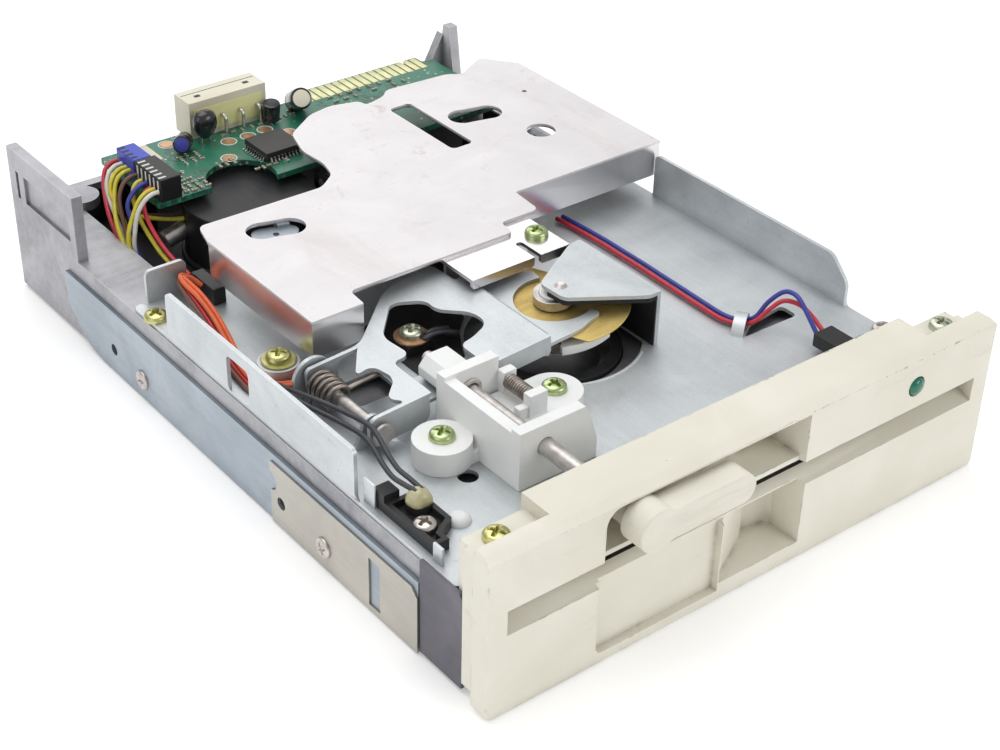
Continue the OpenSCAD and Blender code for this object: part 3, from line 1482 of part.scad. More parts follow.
module upper_head_arm() {
    w = stem_half_w - hinge_wall - play;
    color("gray") place() lift(arm_lift) {
        block_at([hub_x - w, lift_arm_front, hinge_z - lift_arm_t / 2],
                 [hub_x + w, hinge_y + 2 * hinge_r - play, hinge_z + lift_arm_t / 2]);
        rod_x(hinge_y, hinge_z, hinge_r, hub_x - stem_half_w, hub_x + stem_half_w);
    }
}

module head_lower() {
    color("white") place() translate([hub_x, hub_y + track_zero, carriage_low + carriage_h])
        stud(head_top - carriage_low - carriage_h, head_r);
}

module head_upper() {
    color("white") place() lift(arm_lift) translate([hub_x, hub_y + track_zero, head_top + head_gap])
        stud(hinge_z - lift_arm_t / 2 - head_top - head_gap, head_r);
}

module track_sensor() {
    color("black") place()
        block_at([sensor_block[0], sensor_block[1], platen_top - platen_t - sensor_block_h],
                 [sensor_block[0] + sensor_block[2], sensor_block[1] + sensor_block[3] - cut,
                     platen_top - platen_t]);
}

// Black housing of the front sensor: a rimmed plate with a rear post and a cup
module sensor_housing() {
    color("black") place() difference() {
        union() {
            difference() {
                flat_plate(deck_top, deck_top + housing_rim_h) polygon(housing_points(0));
                flat_plate(deck_top + housing_wall, deck_top + housing_rim_h + cut)
                    polygon(housing_points(housing_wall));
            }
            block_at([housing_x[0], housing_post_y, deck_top],
                     [housing_x[0] + housing_post_w, housing_y[1], deck_top + housing_post_h]);
            translate([glue_at[0], glue_at[1], deck_top])
                stud(cup_h, glue_r + housing_wall / 4);
        }
        screw_hole(housing_screw, deck_top + housing_post_h);
    }
}

// Outline of the housing, drawn in by a margin
function housing_points(t) = [
    [housing_x[0] + t, housing_y[0] + t], [housing_neck_x - t, housing_y[0] + t],
    [housing_neck_x - t, housing_step_y[0] + t / 2], [housing_x[1] - t, housing_step_y[1] + t / 2],
    [housing_x[1] - t, housing_post_y - t], [housing_x[0] + t, housing_post_y - t]
];

module sensor_glue() {
    color("olive") place() translate([glue_at[0], glue_at[1], deck_top + cup_h])
        cylinder(h = glue_h, r1 = glue_r, r2 = glue_r * glue_taper, $fn = round_fn);
}

// Index sensor under the arm's window
module index_sensor() {
    color("dimgray") place() translate([index_at[0], index_at[1], deck_top]) difference() {
        translate([-index_r, -index_r, 0]) cube([2 * index_r, 2 * index_r, index_h]);
        translate([0, 0, -cut]) stud(index_h + 2 * cut, screw_r + fit);
    }
}

// Indicator lamp with its two legs
module led() {
    color("darkgreen") place() {
        rod_y(led_x, led_z, led_r, -led_out / 2, led_body);
        rod_y(led_x, led_z, led_r * led_tip_share, -led_out, 0);
        for (s = [-1, 1])
            rod_y(led_x + s * led_r / 2, led_z - led_r / 2, lead_r / 2, led_body, socket_front);
    }
}

module led_plug() {
    color("black") place() {
        block_at([plug_x[0], plug_y[0] - cut, plug_z[0]], [plug_x[1], plug_y[1], plug_z[1]]);
        block_at([socket_x[0], socket_front, plug_z[0]], [socket_x[1], plug_y[0], socket_top]);
    }
}

module led_leads() { color("crimson") place() lead_pair(led_lead_a, led_lead_b); }

module sensor_leads() { color("dimgray") place() lead_pair(sensor_lead_a, sensor_lead_b); }

module harness_block() {
    color("black") place()
        block_at([block[0], block[1], deck_top], [block[0] + block[2], block[1] + block[3],
            deck_top + block[4]]);
}

module board_harness() { color("orange") place() lead_pair(harness_a, harness_b); }

if (shown("base_frame")) base_frame();
if (shown("side_rail_left")) side_rail_left();
if (shown("side_rail_right")) side_rail_right();
if (shown("side_plates")) side_plates();
if (shown("ground_leaf")) ground_leaf();
if (shown("rail_screws")) rail_screws();
if (shown("deck_plate")) deck_plate();
if (shown("deck_screws")) deck_screws();
if (shown("silver_screws")) silver_screws();
if (shown("stop_rivet")) stop_rivet();
if (shown("front_bezel")) front_bezel();
if (shown("bezel_screws")) bezel_screws();
if (shown("lever")) lever();
if (shown("lever_shaft")) lever_shaft();
if (shown("lever_cam")) lever_cam();
if (shown("lever_bracket")) lever_bracket();
if (shown("lever_spring")) lever_spring();
if (shown("bracket_screws")) bracket_screws();
if (shown("clamp_arm")) clamp_arm();
if (shown("arm_axle")) arm_axle();
if (shown("arm_spring")) arm_spring();
if (shown("clamp_hub")) clamp_hub();
if (shown("hub_collar")) hub_collar();
if (shown("hub_leaf")) hub_leaf();
if (shown("spindle")) spindle();
if (shown("spindle_bearing")) spindle_bearing();
if (shown("motor_rotor")) motor_rotor();
if (shown("motor_stator")) motor_stator();
if (shown("shield_plate")) shield_plate();
if (shown("shield_bracket")) shield_bracket();
if (shown("shield_screw")) shield_screw();
if (shown("circuit_board")) circuit_board();
if (shown("edge_contacts")) edge_contacts();
if (shown("power_connector")) power_connector();
if (shown("power_pins")) power_pins();
if (shown("plug_header")) plug_header();
if (shown("motor_plug")) motor_plug();
if (shown("chip")) chip();
if (shown("capacitors")) capacitors();
if (shown("small_parts")) small_parts();
if (shown("stepper_motor")) stepper_motor();
if (shown("stepper_pulley")) stepper_pulley();
if (shown("head_band")) head_band();
if (shown("head_carriage")) head_carriage();
if (shown("guide_rods")) guide_rods();
if (shown("rod_clamps")) rod_clamps();
if (shown("upper_head_arm")) upper_head_arm();
if (shown("head_lower")) head_lower();
if (shown("head_upper")) head_upper();
if (shown("track_sensor")) track_sensor();
if (shown("sensor_housing")) sensor_housing();
if (shown("sensor_glue")) sensor_glue();
if (shown("index_sensor")) index_sensor();
if (shown("led")) led();
if (shown("led_plug")) led_plug();
if (shown("led_leads")) led_leads();
if (shown("sensor_leads")) sensor_leads();
if (shown("harness_block")) harness_block();
if (shown("board_harness")) board_harness();
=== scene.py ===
# Half-height disk drive without its cover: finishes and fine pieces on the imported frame.
import json
import bmesh
import bpy
import numpy as np
from mathutils import Matrix

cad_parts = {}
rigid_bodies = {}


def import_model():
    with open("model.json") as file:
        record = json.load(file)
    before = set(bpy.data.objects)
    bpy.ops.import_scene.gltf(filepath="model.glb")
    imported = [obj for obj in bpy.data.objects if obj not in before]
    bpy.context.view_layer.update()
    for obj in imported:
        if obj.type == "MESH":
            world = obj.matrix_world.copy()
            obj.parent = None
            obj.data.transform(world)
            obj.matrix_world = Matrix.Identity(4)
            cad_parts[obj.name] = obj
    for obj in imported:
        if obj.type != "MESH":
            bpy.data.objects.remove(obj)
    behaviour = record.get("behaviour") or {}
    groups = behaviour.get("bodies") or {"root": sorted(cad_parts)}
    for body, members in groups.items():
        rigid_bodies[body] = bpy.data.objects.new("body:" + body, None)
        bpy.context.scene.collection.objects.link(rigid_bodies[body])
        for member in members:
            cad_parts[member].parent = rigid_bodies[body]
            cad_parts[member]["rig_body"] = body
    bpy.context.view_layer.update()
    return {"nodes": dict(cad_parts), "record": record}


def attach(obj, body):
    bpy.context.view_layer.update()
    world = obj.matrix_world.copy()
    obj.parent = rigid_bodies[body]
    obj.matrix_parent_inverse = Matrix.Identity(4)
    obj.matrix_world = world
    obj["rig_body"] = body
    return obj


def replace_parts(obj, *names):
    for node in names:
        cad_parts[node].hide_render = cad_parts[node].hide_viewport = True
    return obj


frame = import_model()
mm = 0.001
midY = 102.65          # distance from the bezel's face to the drive's origin, mm
tau = 2 * np.pi


def place(points):
    # millimetres behind the bezel's face -> metres in the drive's frame
    return (np.asarray(points, float) - [0, midY, 0]) * mm


# shader words
class Wire:
    # a node's output with arithmetic
    def __init__(self, finish, socket):
        self.finish, self.socket = finish, socket

    def __add__(self, other):
        return self.finish.math("ADD", self, other)

    def __sub__(self, other):
        return self.finish.math("SUBTRACT", self, other)

    def __rsub__(self, other):
        return self.finish.math("SUBTRACT", other, self)

    def __mul__(self, other):
        return self.finish.math("MULTIPLY", self, other)

    def over(self, low, high):
        # 0 below low, 1 above high, smooth between
        node = self.finish.node("ShaderNodeMapRange", {"interpolation_type": "SMOOTHSTEP"},
                                {"Value": self, "From Min": low, "From Max": high})
        return Wire(self.finish, node.outputs["Result"])

    def most(self, other):
        return self.finish.math("MAXIMUM", self, other)

    def least(self, other):
        return self.finish.math("MINIMUM", self, other)

    __rmul__ = __mul__


class Finish:
    # a material built node by node; fixed socket values come as a dictionary
    def __init__(self, name, fixed):
        self.mat = bpy.data.materials.new(name)
        self.mat.use_nodes = True
        self.tree = self.mat.node_tree
        self.shader = self.tree.nodes["Principled BSDF"]
        for key, value in fixed.items():
            self.put(self.shader.inputs[key], value)
        self.coords = self.node("ShaderNodeTexCoord", {}, {}).outputs["Object"]

    def put(self, socket, value):
        if isinstance(value, Wire):
            value = value.socket
        if isinstance(value, bpy.types.NodeSocket):
            self.tree.links.new(value, socket)
        elif isinstance(value, (tuple, list)) and len(value) == 3 and socket.type == "RGBA":
            socket.default_value = (*value, 1)
        else:
            socket.default_value = value

    def node(self, kind, settings, inputs):
        made = self.tree.nodes.new(kind)
        for key, value in settings.items():
            setattr(made, key, value)
        for key, value in inputs.items():
            self.put(made.inputs[key], value)
        return made

    def math(self, operation, a, b):
        made = self.node("ShaderNodeMath", {"operation": operation}, {0: a, 1: b})
        return Wire(self, made.outputs[0])

    def stretched(self, scale, turn=(0, 0, 0)):
        # object coordinates turned, then scaled along each axis
        return self.node("ShaderNodeMapping", {}, {"Vector": self.coords, "Scale": scale,
                                                   "Rotation": turn}).outputs[0]

    def noise(self, scale, detail=3.0, rough=0.55, coords=None, warp=0.0):
        made = self.node("ShaderNodeTexNoise", {}, {
            "Vector": coords or self.coords, "Scale": scale, "Detail": detail,
            "Roughness": rough, "Distortion": warp})
        return Wire(self, made.outputs["Fac"])

    def cells(self, scale):
        made = self.node("ShaderNodeTexVoronoi", {"feature": "F1"}, {"Vector": self.coords, "Scale": scale})
        return Wire(self, made.outputs["Distance"])

    def mix(self, mask, a, b):
        # a where the mask is 0, b where it is 1
        made = self.node("ShaderNodeMix", {"data_type": "RGBA", "blend_type": "MIX"}, {})
        for index, value in ((0, mask), (6, a), (7, b)):
            self.put(made.inputs[index], value)
        return made.outputs[2]

    def corners(self, radius, samples=6):
        # about 0 on flat faces, rising to 1 at sharp outer and inner corners
        rounded = self.node("ShaderNodeBevel", {"samples": samples}, {"Radius": radius})
        flat = self.node("ShaderNodeNewGeometry", {}, {})
        dot = self.node("ShaderNodeVectorMath", {"operation": "DOT_PRODUCT"},
                        {0: rounded.outputs[0], 1: flat.outputs["Normal"]})
        return (1 - Wire(self, dot.outputs["Value"])).over(0.01, 0.16)

    def crevices(self, reach):
        # 0 in the open, rising to 1 where other faces are within reach
        made = self.node("ShaderNodeAmbientOcclusion", {"samples": 6}, {"Distance": reach})
        return (1 - Wire(self, made.outputs["AO"])).over(0.15, 0.75)

    def axis(self, index):
        parts = self.node("ShaderNodeSeparateXYZ", {}, {"Vector": self.coords})
        return Wire(self, parts.outputs[index])

    def bump(self, height, strength, distance):
        made = self.node("ShaderNodeBump", {}, {"Height": height, "Strength": strength,
                                                "Distance": distance})
        self.put(self.shader.inputs["Normal"], made.outputs[0])

    def done(self, **sockets):
        for key, value in sockets.items():
            self.put(self.shader.inputs[key.replace("_", " ")], value)
        return self.mat


# finishes
def sheetMetal(name, pale, dark, metal, rough, grain=0.10, streak=(900, 60, 900), stain=0.0,
               stainColour=(0.30, 0.20, 0.11), mirrorBelow=0):
    # plated sheet: slow clouding, fine grain, drawn streaks, bright worn corners and a few stains;
    # folded sides below a height can be polished
    f = Finish(name, {"Metallic": metal})
    cloud = f.noise(45, 4, 0.6, warp=0.6)
    fine = f.noise(1800, 2, 0.5)
    drawn = f.noise(1.0, 3, 0.6, f.stretched(streak))
    colour = f.mix((cloud * 0.8 + drawn * 0.2 + fine * grain).over(0.3, 0.9), dark, pale)
    colour = f.mix(f.corners(0.0005) * 0.5, colour, tuple(min(1, c * 1.25) for c in pale))
    dots = f.noise(700, 2, 0.5).over(0.68, 0.74) * f.noise(60, 3).over(0.48, 0.62)
    colour = f.mix(dots * 0.25, colour, tuple(c * 0.35 for c in dark))
    # painted shade: darker where other faces are near
    colour = f.mix(f.crevices(0.006) * 0.45, colour, tuple(c * 0.3 for c in dark))
    if stain:
        spots = f.noise(120, 6, 0.75, warp=0.8).over(0.56, 0.72) * f.noise(16, 2).over(0.42, 0.60)
        smear = f.noise(1.0, 5, 0.65, f.stretched((70, 22, 60), (0, 0, 0.5)), 0.6).over(0.52, 0.74)
        colour = f.mix((spots * 0.9).most(smear * 0.45) * stain, colour, stainColour)
    grains = fine * 0.5 + drawn * 0.5
    if mirrorBelow:
        top = (f.axis(2) - mirrorBelow).over(0, 0.0004)
        f.bump(grains * (top * 0.9 + 0.1), 0.08, 0.0001)
        shine = cloud * 0.14 + 0.17
        shine = shine + (cloud * 0.14 + fine * 0.08 + (rough - 0.10) - shine) * top
        return f.done(Base_Color=colour, Roughness=shine, Metallic=top * (metal - 0.95) + 0.95)
    f.bump(grains, 0.08, 0.0001)
    return f.done(Base_Color=colour, Roughness=cloud * 0.14 + fine * 0.08 + (rough - 0.10))


def castMetal(name, pale, dark, bay=None):
    # sand-rough casting with dark clouding, rubbed corners, fine pits and painted shade near other faces;
    # painted shade makes the inside of a bay near-black, the bay given by its half width, front, rear and
    # top in metres
    f = Finish(name, {})
    cloud = f.noise(38, 6, 0.65, warp=0.5)
    grit = f.noise(2600, 3, 0.6)
    lines = f.noise(1.0, 4, 0.6, f.stretched((30, 500, 500)))
    colour = f.mix((cloud + grit * 0.25 + lines * 0.25).over(0.45, 0.95), dark, pale)
    colour = f.mix(f.corners(0.0006) * 0.6, colour, tuple(min(1, c * 1.3) for c in pale))
    # painted shade: darker where other faces are near
    colour = f.mix(f.crevices(0.004) * 0.55, colour, tuple(c * 0.35 for c in dark))
    metal = 0.75
    # painted shade: the inside of the bay near-black and not metallic
    if bay:
        side, front, rear, top = bay
        x, y, z = f.axis(0), f.axis(1), f.axis(2)
        bayShade = (side - x.most(x * -1)).over(0, 0.0004) * (y - front).over(0, 0.0004) \
            * (rear - y).over(0, 0.0004) * (top - z).over(0, 0.0004)
        colour = f.mix(bayShade, colour, (0.012, 0.012, 0.013))
        metal = (1 - bayShade) * 0.75
    f.bump(grit + cloud * 0.6, 0.25, 0.00018)
    return f.done(Base_Color=colour, Metallic=metal, Roughness=grit * 0.2 + cloud * 0.15 + 0.34)


def mouldedPlastic(name, pale, dark, rough=0.5, dirt=0.0, dirtColour=(0.16, 0.12, 0.08), grain=3200,
                   depth=0.12, soft=0.0, nicks=0.0):
    # moulded plastic: fine grain, faint unevenness, dirt in corners and chipped dark edges
    f = Finish(name, {"Specular IOR Level": 0.42, "Subsurface Weight": soft,
                      "Subsurface Radius": (0.004, 0.003, 0.002)})
    grit = f.noise(grain, 3, 0.6)
    cloud = f.noise(34, 4, 0.55, warp=0.3)
    colour = f.mix((cloud * 0.9 + grit * 0.2).over(0.35, 0.8), dark, pale)
    if dirt:
        patches = f.noise(150, 6, 0.75, warp=0.7)
        corner = f.corners(0.0009) * patches.over(0.50, 0.72) * 0.6
        crease = f.crevices(0.004) * patches.over(0.30, 0.80)
        smear = f.noise(1.0, 5, 0.7, f.stretched((24, 60, 140))).over(0.56, 0.80) * 0.22
        specks = f.noise(900, 3, 0.8).over(0.70, 0.76) * f.noise(45, 3).over(0.46, 0.64)
        colour = f.mix((crease * 0.75).most(corner).most(smear).most(specks * 0.7) * dirt,
                       colour, dirtColour)
    if nicks:
        # small dark chips along the upper front edge, more of them to the right
        edge = f.corners(0.0012, 8) * f.noise(1.0, 5, 0.8, f.stretched((420, 900, 900))).over(0.54, 0.60)
        right = (f.axis(0) + 0.01).over(0, 0.05) * 0.8 + 0.2
        colour = f.mix(edge * (f.axis(2) - 0.030).over(0, 0.006) * right * nicks, colour,
                       (0.07, 0.055, 0.045))
    f.bump(grit, depth, 0.0001)
    return f.done(Base_Color=colour, Roughness=grit * 0.12 + cloud * 0.12 + (rough - 0.1))


def turnedMetal(name, pale, dark, rough, metal=1.0):
    # smooth plated metal with faint clouding and painted shade where other faces are near
    f = Finish(name, {"Metallic": metal})
    cloud = f.noise(400, 4, 0.6)
    fine = f.noise(5000, 2, 0.5)
    colour = f.mix((cloud + fine * 0.2).over(0.35, 0.85), dark, pale)
    # painted shade in corners
    colour = f.mix(f.crevices(0.0012) * 0.25, colour, (0.05, 0.04, 0.03))
    f.bump(fine, 0.08, 0.00005)
    return f.done(Base_Color=colour, Roughness=cloud * 0.18 + (rough - 0.06))


def boardFinish():
    # green resist over copper: broad pours, fine tracks on a grid, and tinned spots
    f = Finish("boardGreen", {"Specular IOR Level": 0.5, "Coat Weight": 0.1, "Coat Roughness": 0.3})
    pour = f.noise(85, 2, 0.4, warp=0.5).over(0.47, 0.50)
    tracks = f.node("ShaderNodeTexWave", {"bands_direction": "DIAGONAL"}, {
        "Vector": f.stretched((1, 1, 0), (0, 0, 0.02)), "Scale": 210, "Distortion": 9.0, "Detail": 2.0,
        "Detail Scale": 1.6})
    lines = Wire(f, tracks.outputs["Fac"]).over(0.60, 0.68)
    copper = (lines * (1 - pour) + pour * 0.85).least(1.0)
    green = f.mix(copper, (0.010, 0.075, 0.050), (0.020, 0.165, 0.095))
    mottled = f.mix(f.noise(260, 4).over(0.35, 0.8) * 0.4, green, (0.045, 0.24, 0.16))
    joints = (1 - f.cells(420).over(0.10, 0.22)) * f.noise(120, 2).over(0.46, 0.54)
    shade = f.mix(joints * 0.9, mottled, (0.52, 0.56, 0.50))
    f.bump(copper + joints, 0.25, 0.00008)
    return f.done(Base_Color=shade, Metallic=joints * 0.6, Roughness=f.noise(900, 2) * 0.1 + 0.34)


def glossy(name, colour, rough, coat=0.0):
    # smooth coloured insulation or lens with slight variation
    f = Finish(name, {"Coat Weight": coat, "Coat Roughness": 0.1, "Specular IOR Level": 0.5})
    cloud = f.noise(600, 3, 0.5)
    shade = f.mix(cloud.over(0.3, 0.8), tuple(c * 0.8 for c in colour), colour)
    f.bump(cloud, 0.05, 0.0001)
    return f.done(Base_Color=shade, Roughness=cloud * 0.15 + rough)


finishes = {
    "galvanised": sheetMetal("galvanised", (0.68, 0.71, 0.725), (0.49, 0.52, 0.54), 0.68, 0.46, 0.32),
    "sideSteel": sheetMetal("sideSteel", (0.52, 0.57, 0.62), (0.33, 0.38, 0.43), 0.80, 0.42,
                            streak=(900, 30, 700), stain=0.35, stainColour=(0.22, 0.19, 0.16)),
    "shieldAluminium": sheetMetal("shieldAluminium", (0.80, 0.775, 0.785), (0.69, 0.665, 0.675), 0.35, 0.46,
                                  streak=(60, 900, 900), stain=0.55, stainColour=(0.46, 0.38, 0.33),
                                  mirrorBelow=0.0402),
    "leafZinc": sheetMetal("leafZinc", (0.64, 0.61, 0.55), (0.46, 0.44, 0.40), 0.80, 0.42, stain=0.5,
                           stainColour=(0.30, 0.26, 0.20)),
    "darkSteel": sheetMetal("darkSteel", (0.20, 0.19, 0.22), (0.10, 0.10, 0.12), 0.6, 0.42, stain=0.2),
    "motorSteel": sheetMetal("motorSteel", (0.055, 0.055, 0.06), (0.018, 0.018, 0.02), 0.5, 0.45),
    "spindleSteel": sheetMetal("spindleSteel", (0.16, 0.16, 0.17), (0.07, 0.07, 0.075), 0.8, 0.38),
    "cast": castMetal("cast", (0.50, 0.51, 0.52), (0.27, 0.28, 0.29)),
    # the frame's bay gets painted shade inside
    "castFrame": castMetal("castFrame", (0.50, 0.50, 0.52), (0.27, 0.27, 0.29),
                           (0.0698, 0.0436, 0.1068, 0.0236)),
    "ivory": mouldedPlastic("ivory", (0.80, 0.775, 0.685), (0.715, 0.69, 0.59), 0.52, 1.0, nicks=0.95),
    "nylon": mouldedPlastic("nylon", (0.86, 0.865, 0.86), (0.78, 0.79, 0.785), 0.36, 0.2,
                            (0.35, 0.30, 0.22), grain=2000, depth=0.06, soft=0.35),
    "whitePlastic": mouldedPlastic("whitePlastic", (0.74, 0.71, 0.58), (0.62, 0.58, 0.44), 0.40, 0.3),
    "blackPlastic": mouldedPlastic("blackPlastic", (0.022, 0.022, 0.024), (0.010, 0.010, 0.011), 0.40,
                                   0.25, (0.11, 0.10, 0.09)),
    "bluePlastic": mouldedPlastic("bluePlastic", (0.06, 0.10, 0.60), (0.04, 0.07, 0.45), 0.4),
    "steel": turnedMetal("steel", (0.66, 0.63, 0.60), (0.44, 0.41, 0.39), 0.32, 0.9),
    "springSteel": turnedMetal("springSteel", (0.40, 0.35, 0.31), (0.19, 0.165, 0.15), 0.36),
    "zincYellow": turnedMetal("zincYellow", (0.68, 0.66, 0.30), (0.46, 0.44, 0.18), 0.30),
    "zincGreen": turnedMetal("zincGreen", (0.56, 0.66, 0.34), (0.34, 0.42, 0.20), 0.28),
    "zincSilver": turnedMetal("zincSilver", (0.72, 0.68, 0.64), (0.47, 0.42, 0.40), 0.28),
    "brass": castMetal("brass", (0.80, 0.61, 0.22), (0.36, 0.24, 0.07)),
    "rivet": turnedMetal("rivet", (0.84, 0.76, 0.76), (0.60, 0.50, 0.50), 0.25),
    # near-black for painted shade in holes, gaps and under parts
    "shadeBlack": glossy("shadeBlack", (0.010, 0.010, 0.011), 0.45),
    "gold": turnedMetal("gold", (0.80, 0.77, 0.45), (0.64, 0.60, 0.32), 0.36, 0.6),
    "copper": turnedMetal("copper", (0.70, 0.42, 0.25), (0.50, 0.28, 0.15), 0.34, 0.7),
    "zincPale": turnedMetal("zincPale", (0.66, 0.70, 0.55), (0.42, 0.45, 0.34), 0.28),
    "greenLead": glossy("greenLead", (0.05, 0.22, 0.10), 0.32),
    "tin": turnedMetal("tin", (0.78, 0.78, 0.76), (0.58, 0.58, 0.57), 0.26),
    "panelYellow": mouldedPlastic("panelYellow", (0.74, 0.73, 0.38), (0.66, 0.64, 0.30), 0.35, 0.2),
    "board": boardFinish(),
    "lens": glossy("lens", (0.004, 0.17, 0.10), 0.08, 0.3),
    "glue": glossy("glue", (0.52, 0.48, 0.27), 0.22, 0.5),
    "redLead": glossy("redLead", (0.60, 0.03, 0.05), 0.32),
    "blueLead": glossy("blueLead", (0.05, 0.06, 0.36), 0.32),
    "orangeLead": glossy("orangeLead", (0.80, 0.14, 0.04), 0.32),
    "yellowLead": glossy("yellowLead", (0.72, 0.62, 0.05), 0.32),
    "whiteLead": glossy("whiteLead", (0.76, 0.74, 0.68), 0.32),
    "brownLead": glossy("brownLead", (0.16, 0.07, 0.045), 0.32),
    "greyLead": glossy("greyLead", (0.050, 0.052, 0.062), 0.36),
    "blackCoat": glossy("blackCoat", (0.012, 0.012, 0.016), 0.16, 0.4),
    "silk": glossy("silk", (0.72, 0.74, 0.70), 0.5),
    "ceramic": glossy("ceramic", (0.34, 0.26, 0.16), 0.4),
    "chipBlack": glossy("chipBlack", (0.03, 0.028, 0.026), 0.42),
}
print("finishes", len(finishes))


# mesh words
def finished(name, mesh, body, finish, sharp):
    # the mesh as an object of a body, smooth but for its corners sharper than an angle
    obj = bpy.data.objects.new(name, mesh)
    bpy.context.scene.collection.objects.link(obj)
    mesh.materials.clear()
    mesh.materials.append(finishes[finish])
    mesh.shade_smooth()
    mesh.set_sharp_from_angle(angle=np.radians(sharp))
    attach(obj, body)
    return obj


def part(name, shape, finish, sharp=35, body="chassis", node=None):
    # a piece from points in mm and rows of corner numbers; it can take a CAD node's place
    points, faces = shape
    mesh = bpy.data.meshes.new(name)
    mesh.from_pydata(place(points), [], faces)
    mesh.validate()
    obj = finished(name, mesh, body, finish, sharp)
    if node:
        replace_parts(obj, node)
    return obj


def gridFaces(rows, columns, wrap):
    # quads between neighbouring rows and columns of a grid of points
    r, c = np.meshgrid(np.arange(rows - 1), np.arange(columns if wrap else columns - 1), indexing="ij")
    nextC = (c + 1) % columns
    quads = np.stack([r * columns + c, r * columns + nextC, (r + 1) * columns + nextC,
                      (r + 1) * columns + c], -1)
    return quads.reshape(-1, 4).tolist()


def joined(shapes):
    # several (points, faces) as one
    points, faces, count = [], [], 0
    for p, f in shapes:
        p = np.asarray(p, float).reshape(-1, 3)
        points.append(p)
        faces += [[i + count for i in face] for face in f]
        count += len(p)
    return np.concatenate(points), faces


def moved(shape, at):
    return shape[0] + at, shape[1]


def lathe(profile, sides):
    # a profile of (radius, height) turned round Z; closed at both ends where the radius is 0
    profile = np.asarray(profile, float)
    a = np.arange(sides) * tau / sides
    r, z = profile[:, :1], profile[:, 1:]
    points = np.stack([r * np.cos(a), r * np.sin(a), z + 0 * a], -1)
    return points.reshape(-1, 3), gridFaces(len(profile), sides, True)


def curveThrough(points, count):
    # smooth line through points, evenly spaced along its length
    p = np.asarray(points, float)
    p = np.concatenate([2 * p[:1] - p[1:2], p, 2 * p[-1:] - p[-2:-1]])
    t = np.linspace(0, 1, 24, endpoint=False)[:, None]
    runs = []
    for i in range(len(p) - 3):
        a, b, c, d = p[i:i + 4]
        runs.append(0.5 * (2 * b + (c - a) * t + (2 * a - 5 * b + 4 * c - d) * t ** 2
                           + (3 * b - a - 3 * c + d) * t ** 3))
    line = np.concatenate(runs + [p[-2:-1]])
    s = np.concatenate([[0], np.cumsum(np.linalg.norm(np.diff(line, axis=0), axis=1))])
    even = np.linspace(0, s[-1], count)
    return np.stack([np.interp(even, s, line[:, k]) for k in range(3)], 1)


def sweep(path, radius, sides=12, reference=(0.1, 0.05, 1.0)):
    # a ring carried along a path; flat closed ends
    path = np.asarray(path, float)
    tangent = np.gradient(path, axis=0)
    tangent /= np.linalg.norm(tangent, axis=1, keepdims=True)
    side = np.empty_like(path)
    last = np.cross(reference, tangent[0])
    for i, t in enumerate(tangent):          # each ring turns as little as it can from the last
        last = last - t * (last @ t)
        last = last / np.linalg.norm(last)
        side[i] = last
    up = np.cross(tangent, side)
    a = (np.arange(sides) * tau / sides)[None, :, None]
    rings = path[:, None] + radius * (np.cos(a) * side[:, None] + np.sin(a) * up[:, None])
    n = len(path)
    faces = gridFaces(n, sides, True)
    faces += [list(range(sides))[::-1], list(range((n - 1) * sides, n * sides))]
    return rings.reshape(-1, 3), faces


def filleted(b, corner, thick):
    # rounds the edges as long as the sheet is thick, each as far as its neighbours allow
    wanted = []
    for edge in b.edges:
        d = sorted(abs(c) for c in edge.verts[0].co - edge.verts[1].co)
        if d[0] + d[1] < 1e-4 and abs(d[2] - thick * mm) < 3e-5:
            room = min(other.calc_length() for v in edge.verts for other in v.link_edges
                       if other is not edge)
            wanted.append((edge, min(corner * mm, 0.46 * room)))
    for edge, offset in wanted:
        if edge.is_valid and offset > 2e-5:
            bmesh.ops.bevel(b, geom=[edge], offset=offset, segments=6, profile=0.5, affect="EDGES",
                            clamp_overlap=False)


def softened(node, finish, width, corner, thick):
    # the CAD piece with its flat faces joined and its corners rounded by a width in mm
    sharp = 40
    source = frame["nodes"][node]
    mesh = source.data.copy()
    b = bmesh.new()
    b.from_mesh(mesh)
    bmesh.ops.remove_doubles(b, verts=b.verts, dist=2e-6)
    bmesh.ops.dissolve_limit(b, angle_limit=np.radians(0.6), verts=b.verts, edges=b.edges)
    if corner:
        filleted(b, corner, thick)
    b.to_mesh(mesh)
    b.free()
    if "custom_normal" in mesh.attributes:
        mesh.attributes.remove(mesh.attributes["custom_normal"])
    slotName = next(s["material_slot"] for s in frame["record"]["subparts"] if s["node"] == node)
    obj = finished(node + "Soft", mesh, source["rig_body"], finish, sharp)
    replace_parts(obj, node)
    bevel = obj.modifiers.new("round", "BEVEL")
    bevel.width, bevel.segments, bevel.limit_method = width * mm, 2, "ANGLE"
    bevel.angle_limit, bevel.harden_normals = np.radians(sharp), True
    bevel.miter_outer = "MITER_ARC"


def block(low, high):
    # a box between two corners with its upright corners cut and its top edge rounded
    low, high = np.asarray(low, float), np.asarray(high, float)
    size = high - low
    r = min(0.12, 0.3 * size.min())
    rings = []
    for z, inset in ((0, 0), (size[2] - r, 0), (size[2] - r * 0.3, r * 0.3), (size[2], r)):
        x0, y0, x1, y1 = inset, inset, size[0] - inset, size[1] - inset
        rings.append([(x0 + r, y0, z), (x1 - r, y0, z), (x1, y0 + r, z), (x1, y1 - r, z), (x1 - r, y1, z),
                      (x0 + r, y1, z), (x0, y1 - r, z), (x0, y0 + r, z)])
    faces = gridFaces(4, 8, True) + [list(range(8))[::-1], list(range(24, 32))]
    return np.array(rings).reshape(-1, 3) + low, faces


def blocks(name, boxes, finish, node=None):
    # several boxes as one piece
    part(name, joined([block(a, b) for a, b in boxes]), finish, 30, node=node)


def coated(node, finish):
    # a CAD piece kept as it is with a better finish
    materials = frame["nodes"][node].data.materials
    if len(materials) == 0:
        materials.append(finishes[finish])
    for i in range(len(materials)):
        materials[i] = finishes[finish]


